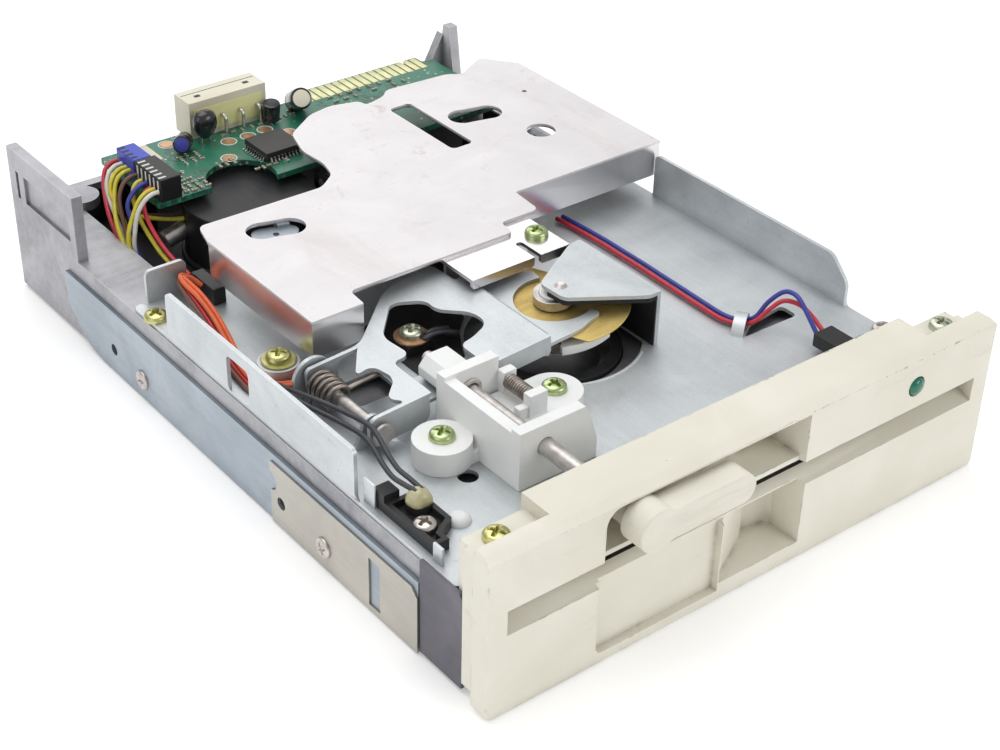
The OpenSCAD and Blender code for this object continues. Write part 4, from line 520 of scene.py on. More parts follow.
# CAD pieces: finish and edge rounding in mm of those that are softened, then the finish of the others
softPieces = {
    "base_frame": ("castFrame", 0.35), "side_rail_left": ("sideSteel", 0.15),
    "side_rail_right": ("sideSteel", 0.15), "side_plates": ("darkSteel", 0.15),
    "ground_leaf": ("leafZinc", 0.1), "deck_plate": ("galvanised", 0.2), "front_bezel": ("ivory", 0.45),
    "lever": ("ivory", 0.9), "lever_cam": ("nylon", 0.3), "lever_bracket": ("nylon", 0.5),
    "clamp_arm": ("galvanised", 0.2), "hub_collar": ("steel", 0.15), "hub_leaf": ("brass", 0.08),
    "spindle": ("spindleSteel", 0.15), "shield_plate": ("shieldAluminium", 0.2),
    "shield_bracket": ("shieldAluminium", 0.2), "circuit_board": ("board", 0.08),
    "power_connector": ("whitePlastic", 0.3), "plug_header": ("bluePlastic", 0.3),
    "motor_plug": ("blackPlastic", 0.3), "chip": ("chipBlack", 0.1), "stepper_motor": ("motorSteel", 0.4),
    "head_carriage": ("motorSteel", 0.3), "upper_head_arm": ("cast", 0.3),
    "sensor_housing": ("blackPlastic", 0.25), "led_plug": ("blackPlastic", 0.3),
    "harness_block": ("blackPlastic", 0.3), "rod_clamps": ("cast", 0.2),
    "index_sensor": ("blackPlastic", 0.25), "track_sensor": ("blackPlastic", 0.25),
}
plainPieces = {
    "lever_shaft": "steel", "arm_axle": "steel", "stop_rivet": "rivet", "spindle_bearing": "brass",
    "motor_rotor": "motorSteel", "motor_stator": "board", "stepper_pulley": "brass",
    "head_band": "steel", "guide_rods": "steel", "head_lower": "whitePlastic",
    "head_upper": "whitePlastic",
}
# corner radius and sheet thickness in mm
cornerRounds = {"shield_plate": (1.6, 1.0), "circuit_board": (0.8, 1.6), "deck_plate": (1.5, 1.0),
                "clamp_arm": (2.5, 1.0), "shield_bracket": (0.8, 1.0)}
for node, (finish, width) in softPieces.items():
    softened(node, finish, width, *cornerRounds.get(node, (0, 1)))
for node, finish in plainPieces.items():
    coated(node, finish)
print("CAD pieces", len(softPieces) + len(plainPieces))


# screws
def screwHead(radius, height, turn):
    # rounded pan with a tapered cross pressed into it, as a field of heights over a disc
    sides, rings = 96, 30
    t = np.linspace(0, np.pi / 2, rings)[:, None]
    a = np.arange(sides)[None] * tau / sides
    r = radius * np.sin(t) ** 0.8
    z = height * np.cos(t) ** 0.55
    x, y = r * np.cos(a), r * np.sin(a)
    arm, reach = radius * 0.17, radius * 0.66

    def slot(u, v):
        inWidth = np.clip((arm - np.abs(v)) / (radius * 0.07), 0, 1)
        inLength = np.clip((reach - np.abs(u)) / (radius * 0.22), 0, 1)
        return inWidth * inLength

    depth = np.maximum(slot(x, y), slot(y, x)) * height * 0.55
    z = z - depth
    points = np.stack([x, y, z + 0 * a], -1)
    cosT, sinT = np.cos(turn), np.sin(turn)
    points = points @ np.array([[cosT, sinT, 0], [-sinT, cosT, 0], [0, 0, 1]])
    return points.reshape(-1, 3), [f[::-1] for f in gridFaces(rings, sides, True)]


def facing(shape, at, axis):
    # turns +Z to an axis and moves to a place in mm
    axis = np.asarray(axis, float)
    side = np.cross([0, 1, 0], axis) if abs(axis[1]) < 0.9 else np.array([1.0, 0, 0])
    side = side / np.linalg.norm(side)
    return shape[0] @ np.array([side, np.cross(axis, side), axis]) + at, shape[1]


def washer(radius, hole, thick):
    # a flat ring with rounded rims
    e = thick * 0.3
    return lathe([(hole, 0), (radius - e, 0), (radius, e), (radius, thick - e), (radius - e, thick),
                  (hole + e, thick), (hole, thick - e), (hole, 0)], 72)


def screwSet(name, node, finish, screws):
    # screws is a list of (place, axis, head radius, head height, washer radius, turn)
    shapes = []
    for at, axis, radius, height, rim, turn in screws:
        lift = 0.7 if rim else 0.0
        if rim:
            shapes.append(facing(washer(rim, 1.2, lift), at, axis))
        shapes.append(facing(moved(screwHead(radius, height, turn), [0, 0, lift]), at, axis))
    part(name, joined(shapes), finish, 30, node=node)


up = (0, 0, 1)
indexAt = np.array([-27.4, 90.6, 28.0])
screwPlaces = {
    "bezelScrews": ("bezel_screws", "yellow_screw", "zincYellow", [
        ((-65.7, 8.9, 38), up, 3.0, 2.0, 0, 0.5)]),
    "rightBezelScrew": ("bezel_screws", "yellow_screw", "zincPale", [
        ((65.7, 8.9, 38), up, 3.0, 2.0, 0, 0.2)]),
    "deckScrews": ("deck_screws", "yellow_screw", "zincYellow", [
        ((-69.9, 138, 25), up, 3.0, 2.0, 0, 0.3), ((-59.4, 98.9, 29.4), up, 3.0, 2.0, 4.2, 0.9)]),
    "indexScrew": ("deck_screws", "yellow_screw", "zincPale", [
        (indexAt + [0, 0, 0.9], up, 3.0, 1.9, 0, 0.75)]),
    "silverScrews": ("silver_screws", "silver_screw", "zincSilver", [
        ((69.9, 28.5, 25), up, 3.0, 2.0, 0, 0.7), ((-66.5, 31.7, 26.2), up, 2.8, 2.2, 0, 0.3)]),
    "bracketScrews": ("bracket_screws", "green_screw", "zincGreen", [
        ((-48.3, 50.3, 31), up, 3.0, 2.0, 0, 0.6), ((-16.7, 50.3, 31), up, 3.0, 2.0, 0, 0.1)]),
    "shieldScrew": ("shield_screw", "green_screw", "zincGreen", [
        ((14.2, 95.4, 40), up, 3.0, 2.0, 0, 0.4)]),
    "railScrews": ("rail_screws", "silver_screw", "zincSilver", [
        ((-73.5, 60, 6), (-1, 0, 0), 2.6, 1.0, 0, 0.5), ((-73, 142.1, 6), (-1, 0, 0), 2.6, 1.0, 0, 0.2),
        ((73, 60, 6), (1, 0, 0), 2.6, 1.0, 0, 0.5), ((73, 142.1, 6), (1, 0, 0), 2.6, 1.0, 0, 0.9)]),
}
for name, (node, slot, finish, screws) in screwPlaces.items():
    screwSet(name, node, finish, screws)
part("indexWasher", moved(washer(4.4, 1.2, 0.9), indexAt), "copper", 30, node="deck_screws")
print("screws", len(screwPlaces))


# sheet and moulded details
def prism(outline, low, high):
    # an outline in mm raised from one height to another
    outline = np.asarray(outline, float)
    n = len(outline)
    points = np.concatenate([np.column_stack([outline, np.full(n, z)]) for z in (low, high)])
    return points, gridFaces(2, n, True) + [list(range(n))[::-1], list(range(n, 2 * n))]


def capsule(a, b, radius):
    # the outline round two points
    a, b = np.asarray(a, float), np.asarray(b, float)
    heading = np.arctan2(*(b - a)[::-1])
    turn = np.linspace(-np.pi / 2, np.pi / 2, 16)
    return np.concatenate([c + radius * np.column_stack([np.cos(t), np.sin(t)])
                           for c, t in ((b, heading + turn), (a, heading + np.pi + turn))])


# tongue seen in the shield's small opening, with its hole
part("shieldTongue", joined([
    prism(capsule((-39.6, 136.4), (-33.6, 134.7), 2.9), 38.3, 39.1),
    prism([(-35, 136.8), (-32, 136), (-31, 141), (-34, 141)], 38.4, 40.0)]),
    "sideSteel", 30)
# its hole is a thin black disc of painted shade
part("tongueHole", moved(lathe([(0, 0.05), (0.8, 0.05), (0.82, 0)], 32), [-36.9, 134.6, 39.1]),
     "shadeBlack")

# painted shade and dark reflection: thin black sheets on the inside of the stop bracket's leg and under its
# front edge
part("bracketShade", joined([
    prism([(19.9, 57.3), (20.18, 57.3), (20.18, 86.7), (19.9, 86.7)], 25.1, 39.15),
    prism([(20.1, 57.2), (17.8, 57.2), (0.6, 68.4), (0.3, 74), (17.8, 60.2), (20.1, 60.2)],
          37.9, 39.17)]), "shadeBlack", 30)

# rolled rim of the hole over the spindle
hubX, hubY, holeRadius = 3.5, 75.0, 22.1
a = np.radians(np.linspace(-56, -158, 60))
rim = np.column_stack([hubX + holeRadius * np.cos(a), hubY + holeRadius * np.sin(a), 24.95 + 0 * a])
part("holeRim", sweep(rim, 0.45, 12), "galvanised", 60)

# the hub's notched ring over its cone, and two spring clips in the notches;
# the rows numbered in notched are measured from the ring's outer wall
hubSides, notched = 360, (5, 6, 7, 8)
profile = [(0, 20.2), (11.2, 20.2), (11.5, 20.4), (13.7, 22.9), (13.8, 23.0), (-0.25, 23.0),
           (0, 23.25), (0, 25.1), (-0.25, 25.4), (13.4, 25.4), (13.2, 25.2), (9.2, 25.2), (9.0, 25.4),
           (9.0, 26.1), (8.9, 26.2), (3.4, 26.2), (3.4, 30.6), (3.2, 30.8), (0, 30.8)]
a = np.arange(hubSides) * tau / hubSides
away = np.abs((np.degrees(a) + 69 + 30) % 60 - 30)
outer = 14.3 + 1.7 * np.clip((away - 4.5) / 1.2, 0, 1)
rows = []
for k, (r, z) in enumerate(profile):
    radius = outer + r if k in notched else r + 0 * a
    rows.append(np.stack([radius * np.cos(a), radius * np.sin(a), z + 0 * a], -1))


axleX, axleZ = -57.2, 30.0


def raised(points, degrees=6.8, at=(hubX, hubY)):
    # a place in the closed position, turned up about the arm's axle
    x, z = points[..., 0] + at[0] - axleX, points[..., 2] - axleZ
    cosT, sinT = np.cos(np.radians(degrees)), np.sin(np.radians(degrees))
    return np.stack([x * cosT - z * sinT + axleX, points[..., 1] + at[1],
                     x * sinT + z * cosT + axleZ], -1)


part("hubRing", (raised(np.array(rows)).reshape(-1, 3), gridFaces(len(profile), hubSides, True)),
     "nylon", 40, "clamp_hub", "clamp_hub")
clips = []
for turn in np.radians((-129, 51)):
    inward = np.array([np.cos(turn), np.sin(turn)])
    across = np.array([-inward[1], inward[0]])
    corners = [inward * r + across * w for r, w in ((13.9, -1.5), (14.7, -1.5), (14.7, 1.5), (13.9, 1.5))]
    clips.append(prism(corners, 23.1, 25.7))
p, f = joined(clips)
part("hubClips", (raised(p), f), "springSteel", 30, "clamp_hub")
# shadowed bend line across the arm
line = raised(np.array([[-8.85, y, 34.0] for y in np.linspace(62.2, 92.5, 12)]), 3.4, (0, 0))
part("armBend", sweep(line, 0.14, 8), "sideSteel", 60, "clamp_arm")

# painted shade: a thin black plate on the deck under the arm's window
part("windowShade", prism([(-33, 80), (-19.5, 80), (-17.5, 84), (-14, 89.5), (-9, 94.2), (-9, 104),
                          (-20, 108), (-33, 104)], 25.02, 25.4), "shadeBlack", 30)

# bush round the lever shaft and two lugs beside its spring
part("shaftBush", facing(washer(2.9, 1.75, 0.8), (-35, 57.7, 34.2), (0, -1, 0)), "steel", 30)
blocks("springLugs", [((-27.3, 55.4, 31.0), (-23.6, 57.75, 36.6)),
                      ((-31.0, 45.0, 31.0), (-27.6, 47.0, 33.8))], "nylon")

# white rivet and two small upright tabs on the deck
part("deckRivet", moved(lathe([(2.8, 0), (2.75, 0.5), (2.2, 1.2), (1.2, 1.65), (0.9, 1.6), (0, 1.6)], 48),
                        [-58.4, 30.8, 25.0]), "nylon")
blocks("deckTabs", [((-70.3, 44.6, 24.9), (-69.7, 48.6, 31.0)), ((-70.3, 20.6, 24.9), (-69.6, 23.8, 29.4))],
       "galvanised")

# painted shade: a thin black strip in the throat behind the disk slot's ramp
blocks("throatShade", [((-66, 4.6, 22.1), (66, 9.5, 22.5))], "shadeBlack")
print("sheet and hub details")


# board parts
boardTop = 33.0
padPlaces = [(-2.1, 195.8), (-8.0, 195.1), (-14.1, 195.3), (-19.2, 186.8), (-29, 203.6), (2.5, 190.5)]
for name, profile, slot, finish in (
        ("boardPads", [(0, 0.1), (1.7, 0.1), (1.75, 0)], "gold", "copper"),
        ("padRings", [(1.95, 0), (1.97, 0.05), (2.3, 0.05), (2.35, 0)], "board_green", "silk")):
    part(name, joined([moved(lathe(profile, 40), [x, y, boardTop]) for x, y in padPlaces]), finish)

# wide bars along the tongue's end, above and below
bars = [38.5 + (i - 8) * 2.54 for i in range(17)]
blocks("contactBars", [((x - 0.98, 203.2, z), (x + 0.98, 210.4, z + 0.07))
                       for x in bars for z in (boardTop, 31.33)], "gold", "edge_contacts")

# surface parts in rows: body and two tinned ends each
rng = np.random.default_rng(7)
chipPlaces = []
for x0, y0, columns, rows, dx, dy in ((-38.4, 176.4, 4, 6, 2.2, 2.0), (-30.2, 190.4, 3, 3, 2.4, 2.0),
                                      (-16.6, 176.4, 6, 1, 1.9, 2.0), (-24, 183.4, 3, 2, 2.2, 2.1),
                                      (-13.4, 199.2, 5, 1, 3.0, 1.0), (16.5, 190.4, 4, 3, 3.1, 2.4),
                                      (5, 199.4, 3, 2, 2.2, 2.2), (24, 199, 8, 2, 3.4, 3.0)):
    for c in range(columns):
        for r in range(rows):
            if rng.random() < 0.82:
                x, y = x0 + c * dx + rng.uniform(-0.2, 0.2), y0 + r * dy + rng.uniform(-0.2, 0.2)
                chipPlaces.append((x, y, rng.random() < 0.5))
bodies, ends = [], []
for x, y, across in chipPlaces:
    half = np.array([0.75, 0.4]) if across else np.array([0.4, 0.75])
    tip = np.array([0.25, 0.0]) if across else np.array([0.0, 0.25])
    centre = np.array([x, y])
    low, high = centre - half + tip, centre + half - tip
    bodies.append(((*low, boardTop), (*high, boardTop + 0.5)))
    for side in (-1, 1):
        middle = centre + side * (half - tip / 2) * (tip > 0)
        size = np.where(tip > 0, tip / 2 + 0.02, half + 0.04)
        ends.append(((*(middle - size), boardTop), (*(middle + size), boardTop + 0.55)))
blocks("chipBodies", bodies, "ceramic", "small_parts")
blocks("chipEnds", ends, "tin")

# legs of the square chip: out, down and flat on the board
chipAt, chipHalf, legs = np.array([-6.6, 184.0]), 5.75, []
for side in range(4):
    cosA, sinA = np.cos(side * np.pi / 2), np.sin(side * np.pi / 2)
    turn = np.array([[cosA, sinA], [-sinA, cosA]])
    for i in range(9):
        t = (i - 4) * 1.15
        pts = []
        for out, height in ((-0.3, 1.25), (0.35, 1.25), (0.7, 0.25), (1.35, 0.2)):
            for w in (-0.24, 0.24):
                for lift in (0.0, 0.16):
                    xy = np.array([chipHalf + out, t + w]) @ turn + chipAt
                    pts.append((*xy, boardTop + height - 0.1 + lift))
        faces = []
        for k in range(3):
            a, b = 4 * k, 4 * k + 4
            faces += [[a + 1, b + 1, b + 3, a + 3], [a, a + 2, b + 2, b], [a, b, b + 1, a + 1],
                      [a + 2, a + 3, b + 3, b + 2]]
        faces += [[0, 1, 3, 2], [12, 14, 15, 13]]
        legs.append((np.array(pts), faces))
part("chipLegs", joined(legs), "tin", 20)


def capacitor(name, low, high, r, cap, node=None):
    # sleeved can from one point to another: rolled lower rim, sleeve over the edge, bare top
    axis = np.subtract(high, low)
    length = np.linalg.norm(axis)
    axis = axis / length
    sleeve = [(0, 0), (r * 0.85, 0), (r * 0.98, 0.3), (r * 0.98, 0.8), (r * 0.90, 1.2), (r, 1.7),
              (r, length - 0.5), (r * 0.95, length - 0.1), (r * 0.80, length), (r * 0.78, length - 0.1),
              (0, length - 0.1)]
    part(name, facing(lathe(sleeve, 56), low, axis), "blackCoat", 40, node=node)
    top = lathe([(0, 0.06), (r * 0.7, 0.04), (r * 0.79, -0.05), (r * 0.79, -0.3)], 56)
    part(name + "Top", facing(top, np.add(low, axis * length), axis), cap, 40)
    routes = [[np.add(low, [s * r * 0.4, 0, 0.4]), np.add(low, [s * r * 0.42, -0.1, -0.6]),
               [low[0] + s * r * 0.45, low[1], boardTop - 0.4]] for s in (-1, 1)]
    part(name + "Wires", joined([sweep(curveThrough(route, 8), 0.28, 8) for route in routes]),
         "tin")


capacitor("leaningCan", (12.2, 202.4, 35.2), (9.6, 194.6, 39.8), 3.1, "whitePlastic", "capacitors")
capacitor("shortCan", (1.8, 198.6, 34.0), (1.6, 197.8, 39.4), 2.5, "blackPlastic")
capacitor("lyingCan", (-25.6, 199.4, 35.0), (-29.2, 194.4, 36.8), 2.5, "blueLead")
# dipped drop with its two wires
dropX, dropY = -19.4, 198.4
drop = [(0, 0), (1.3, 0.3), (2.5, 1.5), (3.3, 3.0), (3.6, 4.6), (3.4, 6.2), (2.7, 7.4), (1.5, 8.1), (0, 8.3)]
p, f = lathe(drop, 48)
part("dippedDrop", facing((p * [1.0, 0.72, 1.0], f), (dropX, dropY, 34.4), up),
     "blackCoat", 60)
part("dropWires", joined([sweep([[dropX + s, dropY, 35.2], [dropX + s * 1.2, dropY, 34],
                                 [dropX + s * 1.3, dropY, 32.6]], 0.3, 8) for s in (-1.1, 1.1)]),
     "tin")

# bent pins of the power connector and its yellowed front panel
pins = [sweep(curveThrough([[x, 202.6, 38.4], [x, 200.8, 38.4], [x, 199.9, 37.6], [x, 199.8, 35.4],
                            [x, 199.8, 32.8]], 16), 0.5, 10) for x in (-17.6, -12.0, -6.4, -0.8)]
part("bentPins", joined(pins), "tin", node="power_pins")
blocks("connectorPanel", [((-20.6, 201.72, 34.6), (1.1, 202.1, 41.6))], "panelYellow")
blocks("connectorMarks", [((-18.4, 204.6, 43.7), (-16.6, 206.0, 43.84)),
                          ((-2.9, 204.6, 43.7), (-1.1, 206.0, 43.84)),
                          ((-21.4, 207.4, 43.7), (1.9, 207.7, 43.84))], "blackPlastic")

# plug details: dark key slots on the blue one, pale contact slots on the dark one
blocks("bluePlugSlots", [((-46.4, y, 39.3), (-44.6, y + 1.0, 39.46))
                         for y in (190.3, 192.5, 194.7, 196.9)], "blackPlastic")
blocks("plugBase", [((-41.2, 188.9, 33.0), (-37.8, 198.8, 37.6))], "whitePlastic")
darkSlots = [175.9 + 2.15 * i for i in range(6)]
blocks("darkPlugSlots", [((-46.72, y, 35.0), (-46.56, y + 0.7, 39.0)) for y in darkSlots]
       + [((-46.4, y, 39.55), (-44.2, y + 0.7, 39.66)) for y in darkSlots], "silk")
# a steel drum seen in the bay
part("bayDrum", facing(lathe([(0, 0), (2.2, 0), (2.5, 0.3), (2.5, 7.7), (2.2, 8), (0, 8)], 48),
                       (-45.2, 178.6, 19.6), (0.97, 0.0, 0.24)), "steel", 30)
print("board parts")


# springs
def helix(centre, radius, y0, y1, turns, start):
    # a line round an axis along Y, 28 steps a turn
    a = np.linspace(0, 1, int(turns * 28) + 1)
    angle = start + a * turns * tau
    return np.stack([centre[0] + radius * np.cos(angle), y0 + (y1 - y0) * a,
                     centre[1] + radius * np.sin(angle)], 1)


leverSpring = {"centre": (-26, 34.4), "radius": 1.5, "wire": 0.4, "ends": (47.6, 55.2), "turns": 10}
line = helix(leverSpring["centre"], leverSpring["radius"], *leverSpring["ends"], leverSpring["turns"], 0)
part("leverSpringWire", sweep(line, leverSpring["wire"], 12, (0, 1, 0)), "springSteel",
     node="lever_spring")

armSpring = {"centre": (axleX, axleZ), "radius": 3.2, "wire": 0.55, "ends": (76.6, 84.6), "turns": 4.375}
coil = helix(armSpring["centre"], armSpring["radius"], *armSpring["ends"], armSpring["turns"], np.pi / 4)
line = np.concatenate([curveThrough([[-43.2, 76.6, 32.98], [-50.8, 76.6, 32.53], coil[0], coil[2]], 24)[:-2],
                       coil[1:], curveThrough([coil[-1], [-60.4, 84.6, 25.3]], 6)[1:]])
part("armSpringWire", sweep(line, armSpring["wire"], 12, (0, 1, 0)), "springSteel",
     body="clamp_arm", node="arm_spring")
print("springs")


# leads
leadRadius = 0.6


def lead(name, route, finish):
    # a thin insulated wire through the points of its route
    line = curveThrough(route, max(24, len(route) * 8))
    obj = part(name, sweep(line, leadRadius), finish, 60)
    return obj


# the lamp, from its dome in front to its flat rear, and its two legs
lampAt = (48.3, 0, 33.1)
dome = [(0, 1.0), (0.9, 0.95), (1.6, 0.7), (2.1, 0.2), (2.35, -0.5), (2.5, -1.4), (2.5, -6), (0, -6)]
part("lampDome", facing(lathe(dome, 56), lampAt, (0, -1, 0)), "lens", 40, node="led")
legs = [sweep([[s, -5.9, -1.2], [s, -10, -1.2], [s, -14.3, -1.2]], 0.3, 8) for s in (-1.2, 1.2)]
part("lampWires", joined([(-q * [1, 1, -1] + lampAt, g[::-1]) for q, g in legs]), "tin")

ledLeads = {
    "ledLeadA": ("redLead", [
        [40, 118, 26], [40.6, 110, 26], [41, 102, 26], [41, 94, 26], [41, 86, 26], [40.8, 78, 26],
        [40.6, 70, 26], [40.5, 62, 26], [40.6, 56, 26], [41.4, 53, 26], [43, 50.6, 26], [45, 48, 27.4],
        [48, 46, 31], [50.5, 44.4, 33], [52.8, 41.2, 32.6], [53.8, 37.6, 30.6], [53.2, 33, 28.8]]),
    "ledLeadB": ("blueLead", [
        [42, 118, 26], [42.6, 110, 26], [43, 102, 26], [43, 94, 26], [43, 86, 26], [42.8, 78, 26],
        [42.6, 70, 26], [42.4, 62, 26], [42.4, 57, 26], [43, 54, 26], [44.6, 51.6, 26], [46.6, 49.4, 27.4],
        [49, 48, 31.4], [51.4, 45.6, 34.6], [52, 42.4, 35.2], [51.6, 39, 33.8], [51, 33, 28.8]]),
}
for name, (finish, route) in ledLeads.items():
    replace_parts(lead(name, route, finish), "led_leads")

# uneven drop of glue over the ends of the grey leads
a = np.arange(72) * tau / 72
blob = [(2.75, 28.1), (2.95, 28.6), (2.85, 29.4), (2.5, 30.2), (1.95, 30.9), (1.2, 31.4), (0.5, 31.6),
        (0.01, 31.65)]
rows = []
for r, z in blob:
    radius = r * (1 + 0.05 * np.sin(3 * a + z) + 0.03 * np.sin(5 * a))
    rows.append(np.stack([radius * np.cos(a), radius * np.sin(a), z + 0.08 * np.sin(2 * a) * r / 3], -1))
part("glueDome", (np.array(rows).reshape(-1, 3) + [-63.6, 37.9, 0],
                  gridFaces(len(blob), 72, True) + [list(range(72))[::-1]]), "glue", 60,
     node="sensor_glue")

sensorLeads = {
    "sensorLeadA": [
        [-64.3, 37.6, 31.05], [-64.6, 39.4, 31.1], [-65.2, 41.6, 31.3], [-65.8, 44.4, 31.7],
        [-65.6, 48.4, 32.8], [-64.8, 53, 34], [-64.4, 58, 34.2], [-65, 66, 33.4], [-66, 76, 32],
        [-66, 86, 30], [-65, 94, 27]],
    "sensorLeadB": [
        [-62.9, 37.6, 31.05], [-63, 39.4, 31.3], [-63.4, 41.8, 31.9], [-64, 44.8, 32.7], [-63.6, 49.2, 34],
        [-62.8, 53.4, 35.2], [-62.2, 58, 35.6], [-63, 66, 34.8], [-64, 76, 33], [-64, 86, 30],
        [-63, 94, 26.8]],
}
for name, route in sensorLeads.items():
    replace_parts(lead(name, route, "greyLead"), "sensor_leads")

indexLeads = [
    [(-25.6, 88.4, 27.4), (-26.2, 86.9, 29.0), (-24.0, 86.6, 29.7), (-21.0, 85.9, 29.7), (-18.7, 84.9, 29.2),
     (-17.6, 86.0, 27.8), (-18.4, 89.0, 26.1)],
    [(-24.2, 89.4, 27.4), (-24.4, 88.4, 29.1), (-22.4, 88.0, 29.7), (-19.8, 87.4, 29.4), (-18.6, 88.8, 28.2),
     (-19.4, 91.6, 26.2)]]
for i, route in enumerate(indexLeads):
    lead("indexLead%d" % (i + 1), route, "greyLead")

boardHarness = {
    "motorLeadA": ("yellowLead", [
        [-47.2, 184, 36], [-49, 184, 35.6], [-50.6, 183, 34], [-51.4, 181, 31], [-51.6, 178, 28],
        [-51.4, 174, 25], [-51, 169, 22], [-50.4, 163, 20]]),
    "motorLeadB": ("redLead", [
        [-47.2, 179, 36], [-49, 179, 35.4], [-50.4, 178, 33.4], [-51, 176, 30.4], [-51, 173, 27.4],
        [-50.6, 169, 24.4], [-50, 164, 22], [-49.2, 158, 20.4]]),
}
for name, (finish, route) in boardHarness.items():
    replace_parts(lead(name, route, finish), "board_harness")

# the other leads of the two plugs gather in a bundle that falls into the bay
fanLeads = [(197.4, "redLead"), (195.2, "whiteLead"), (192.8, "yellowLead"), (190.6, "yellowLead"),
            (187.2, "brownLead"), (181.7, "blueLead"), (177.6, "yellowLead"), (175.6, "whiteLead")]
for i, (y, finish) in enumerate(fanLeads):
    bundleX, bundleY = -57.4 + 1.3 * (i % 3), 176.4 - 1.35 * (i // 3)
    pull = bundleY - y
    lead("plugLead%d" % (i + 1), [
        [-47.0, y, 36.2], [-49.2, y, 36.0], [-51.6, y + 0.04 * pull, 34.6], [-53.8, y + 0.2 * pull, 31.8],
        [bundleX + 0.8, y + 0.55 * pull, 27.5], [bundleX, y + 0.85 * pull, 23.4],
        [bundleX, bundleY - 1.5, 19.8], [bundleX + 0.8, bundleY - 7, 17.2],
        [bundleX + 2.2, bundleY - 14, 16.2]], finish)

# three leads that pass to the right under the board
for i, finish in enumerate(("yellowLead", "greyLead", "brownLead")):
    shift = i * 1.3
    lead("motorLead%d" % (i + 3), [
        [-50.5, 186 + i, 26], [-46, 182 + i, 25.2], [-40, 178.6 + shift, 24.6], [-34, 176.4 + shift, 25.4],
        [-29, 175.6 + shift, 27.2], [-26, 176.6 + shift, 28.6]], finish)

# flat bundle from the dark block along the left flange and round the standoff
boss = (-59.4, 98.9)
for i, finish in enumerate(("brownLead", "redLead", "greenLead", "orangeLead")):
    o, r = 1.22 * i, 9.2 - 1.22 * i
    turn = np.radians([180, 200, 220, 240, 258, 272])
    bend = [[boss[0] + r * np.cos(t), boss[1] + r * np.sin(t), 25.75] for t in turn]
    lead("flangeLead%d" % (i + 1), [
        [-55.9, 143.6 - 0.9 * i, 27.0], [-57.4, 144.4 - 0.8 * i, 28.3],
        [-59.6 + 0.2 * i, 143.8 - 0.7 * i, 29.8], [-61.6 + 0.6 * i, 140.4 - 0.3 * i, 30.6],
        [-62.6 + 0.8 * o, 134.6, 30.0], [-63.4 + 0.85 * o, 127, 28.6], [-65.2 + 0.95 * o, 117.5, 27.0],
        [-67.4 + o, 109, 26.1]] + bend + [
        [-54.6, boss[1] - r + 0.6, 25.75], [-50.4, boss[1] - r + 1.2, 25.7]], finish)
# two more cross over the bundle
for i in range(2):
    lead("crossLead%d" % (i + 1), [
        [-55.8, 140.8 - 1.2 * i, 28.6], [-57.6, 142.6 - 1.2 * i, 30.2], [-60.0, 142.4 - 1.2 * i, 31.6],
        [-61.4 + 1.1 * i, 138.6, 31.9], [-61.4 + 1.2 * i, 132.0, 31.2], [-61.9 + 1.2 * i, 124.5, 29.6],
        [-63.6 + 1.2 * i, 116.0, 28.2], [-65.8 + 1.2 * i, 107.5, 27.2], [-66.6 + 1.2 * i, 100.0, 26.95],
        [-64.8 + 0.9 * i, 94.8 + 0.6 * i, 26.95], [-60.2 + 0.4 * i, 91.6 + 1.0 * i, 26.95],
        [-54.0, 91.4 + 1.2 * i, 26.9]], "orangeLead")
print("leads")


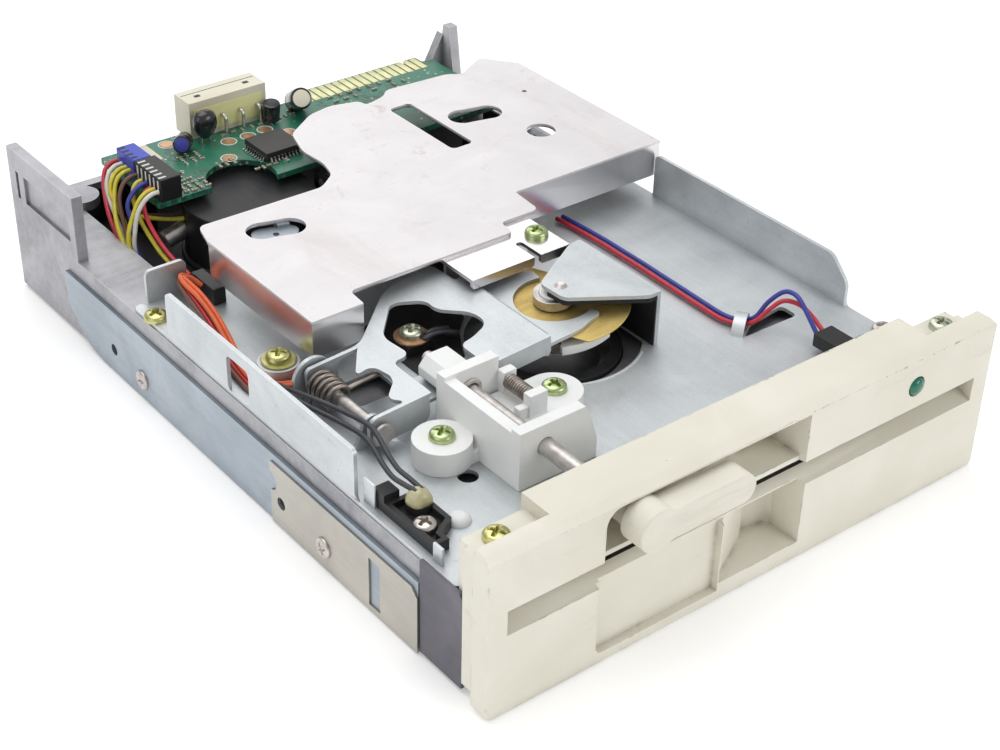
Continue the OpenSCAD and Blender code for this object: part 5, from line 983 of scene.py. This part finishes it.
# studio
def areaLight(name, at, aim, size, power):
    light = bpy.data.lights.new(name, "AREA")
    light.shape, light.size, light.size_y = "RECTANGLE", *size
    light.energy = power
    obj = bpy.data.objects.new(name, light)
    bpy.context.scene.collection.objects.link(obj)
    back = np.subtract(at, aim)
    back = back / np.linalg.norm(back)
    side = np.cross([0, 0, 1], back) if abs(back[2]) < 0.99 else np.array([1.0, 0, 0])
    side = side / np.linalg.norm(side)
    turn = np.eye(4)
    turn[:3, 0], turn[:3, 1], turn[:3, 2], turn[:3, 3] = side, np.cross(back, side), back, at
    obj.matrix_world = Matrix(turn.tolist())


studio = {
    "overhead": ((-0.05, 0.2, 0.9), (0, 0, 0), (0.8, 0.8), 4.2),
    "left": ((-0.9, -0.1, 0.5), (0, 0, 0.02), (0.7, 0.6), 1.2),
    "front": ((0.45, -0.9, 0.5), (0, 0, 0.02), (0.6, 0.4), 2.4),
    "rear": ((0.3, 0.9, 0.6), (0, 0, 0.02), (0.9, 0.4), 1.6),
}
for name, (at, aim, size, power) in studio.items():
    areaLight(name, at, aim, size, power)

floorMesh = bpy.data.meshes.new("floor")
reach, level = 4.0, -0.0004
floorMesh.from_pydata([(-reach, -reach, level), (reach, -reach, level), (reach, reach, level),
                       (-reach, reach, level)], [], [(0, 1, 2, 3)])
floor = bpy.data.objects.new("floor", floorMesh)
bpy.context.scene.collection.objects.link(floor)
paper = Finish("paper", {"Roughness": 0.9, "Base Color": (0.93, 0.93, 0.93), "Specular IOR Level": 0.1,
                         "Emission Color": (1.0, 1.0, 1.0), "Emission Strength": 0.22})
floorMesh.materials.append(paper.mat)

world = bpy.data.worlds.new("studio")
bpy.context.scene.world = world
world.use_nodes = True
world.node_tree.nodes["Background"].inputs["Color"].default_value = (1, 1, 1, 1)
world.node_tree.nodes["Background"].inputs["Strength"].default_value = 0.55
bpy.context.scene.view_settings.view_transform = "Standard"

# the camera's right, up and back directions and its place, solved from the photograph
cameraData = bpy.data.cameras.new("camera")
camera = bpy.data.objects.new("camera", cameraData)
bpy.context.scene.collection.objects.link(camera)
cameraData.sensor_width, cameraData.lens = 36.0, 67.911
cameraData.clip_start, cameraData.clip_end = 0.01, 50
axes = np.eye(4)
axes[:3, 0] = (0.78751034, -0.61592943, 0.02141034)
axes[:3, 1] = (0.32889164, 0.44938402, 0.83059274)
axes[:3, 2] = (-0.52120798, -0.64705869, 0.5564686)
axes[:3, 3] = (-0.24807295, -0.31993566, 0.27115377)
camera.matrix_world = Matrix(axes.tolist())
bpy.context.scene.camera = camera

print("done")
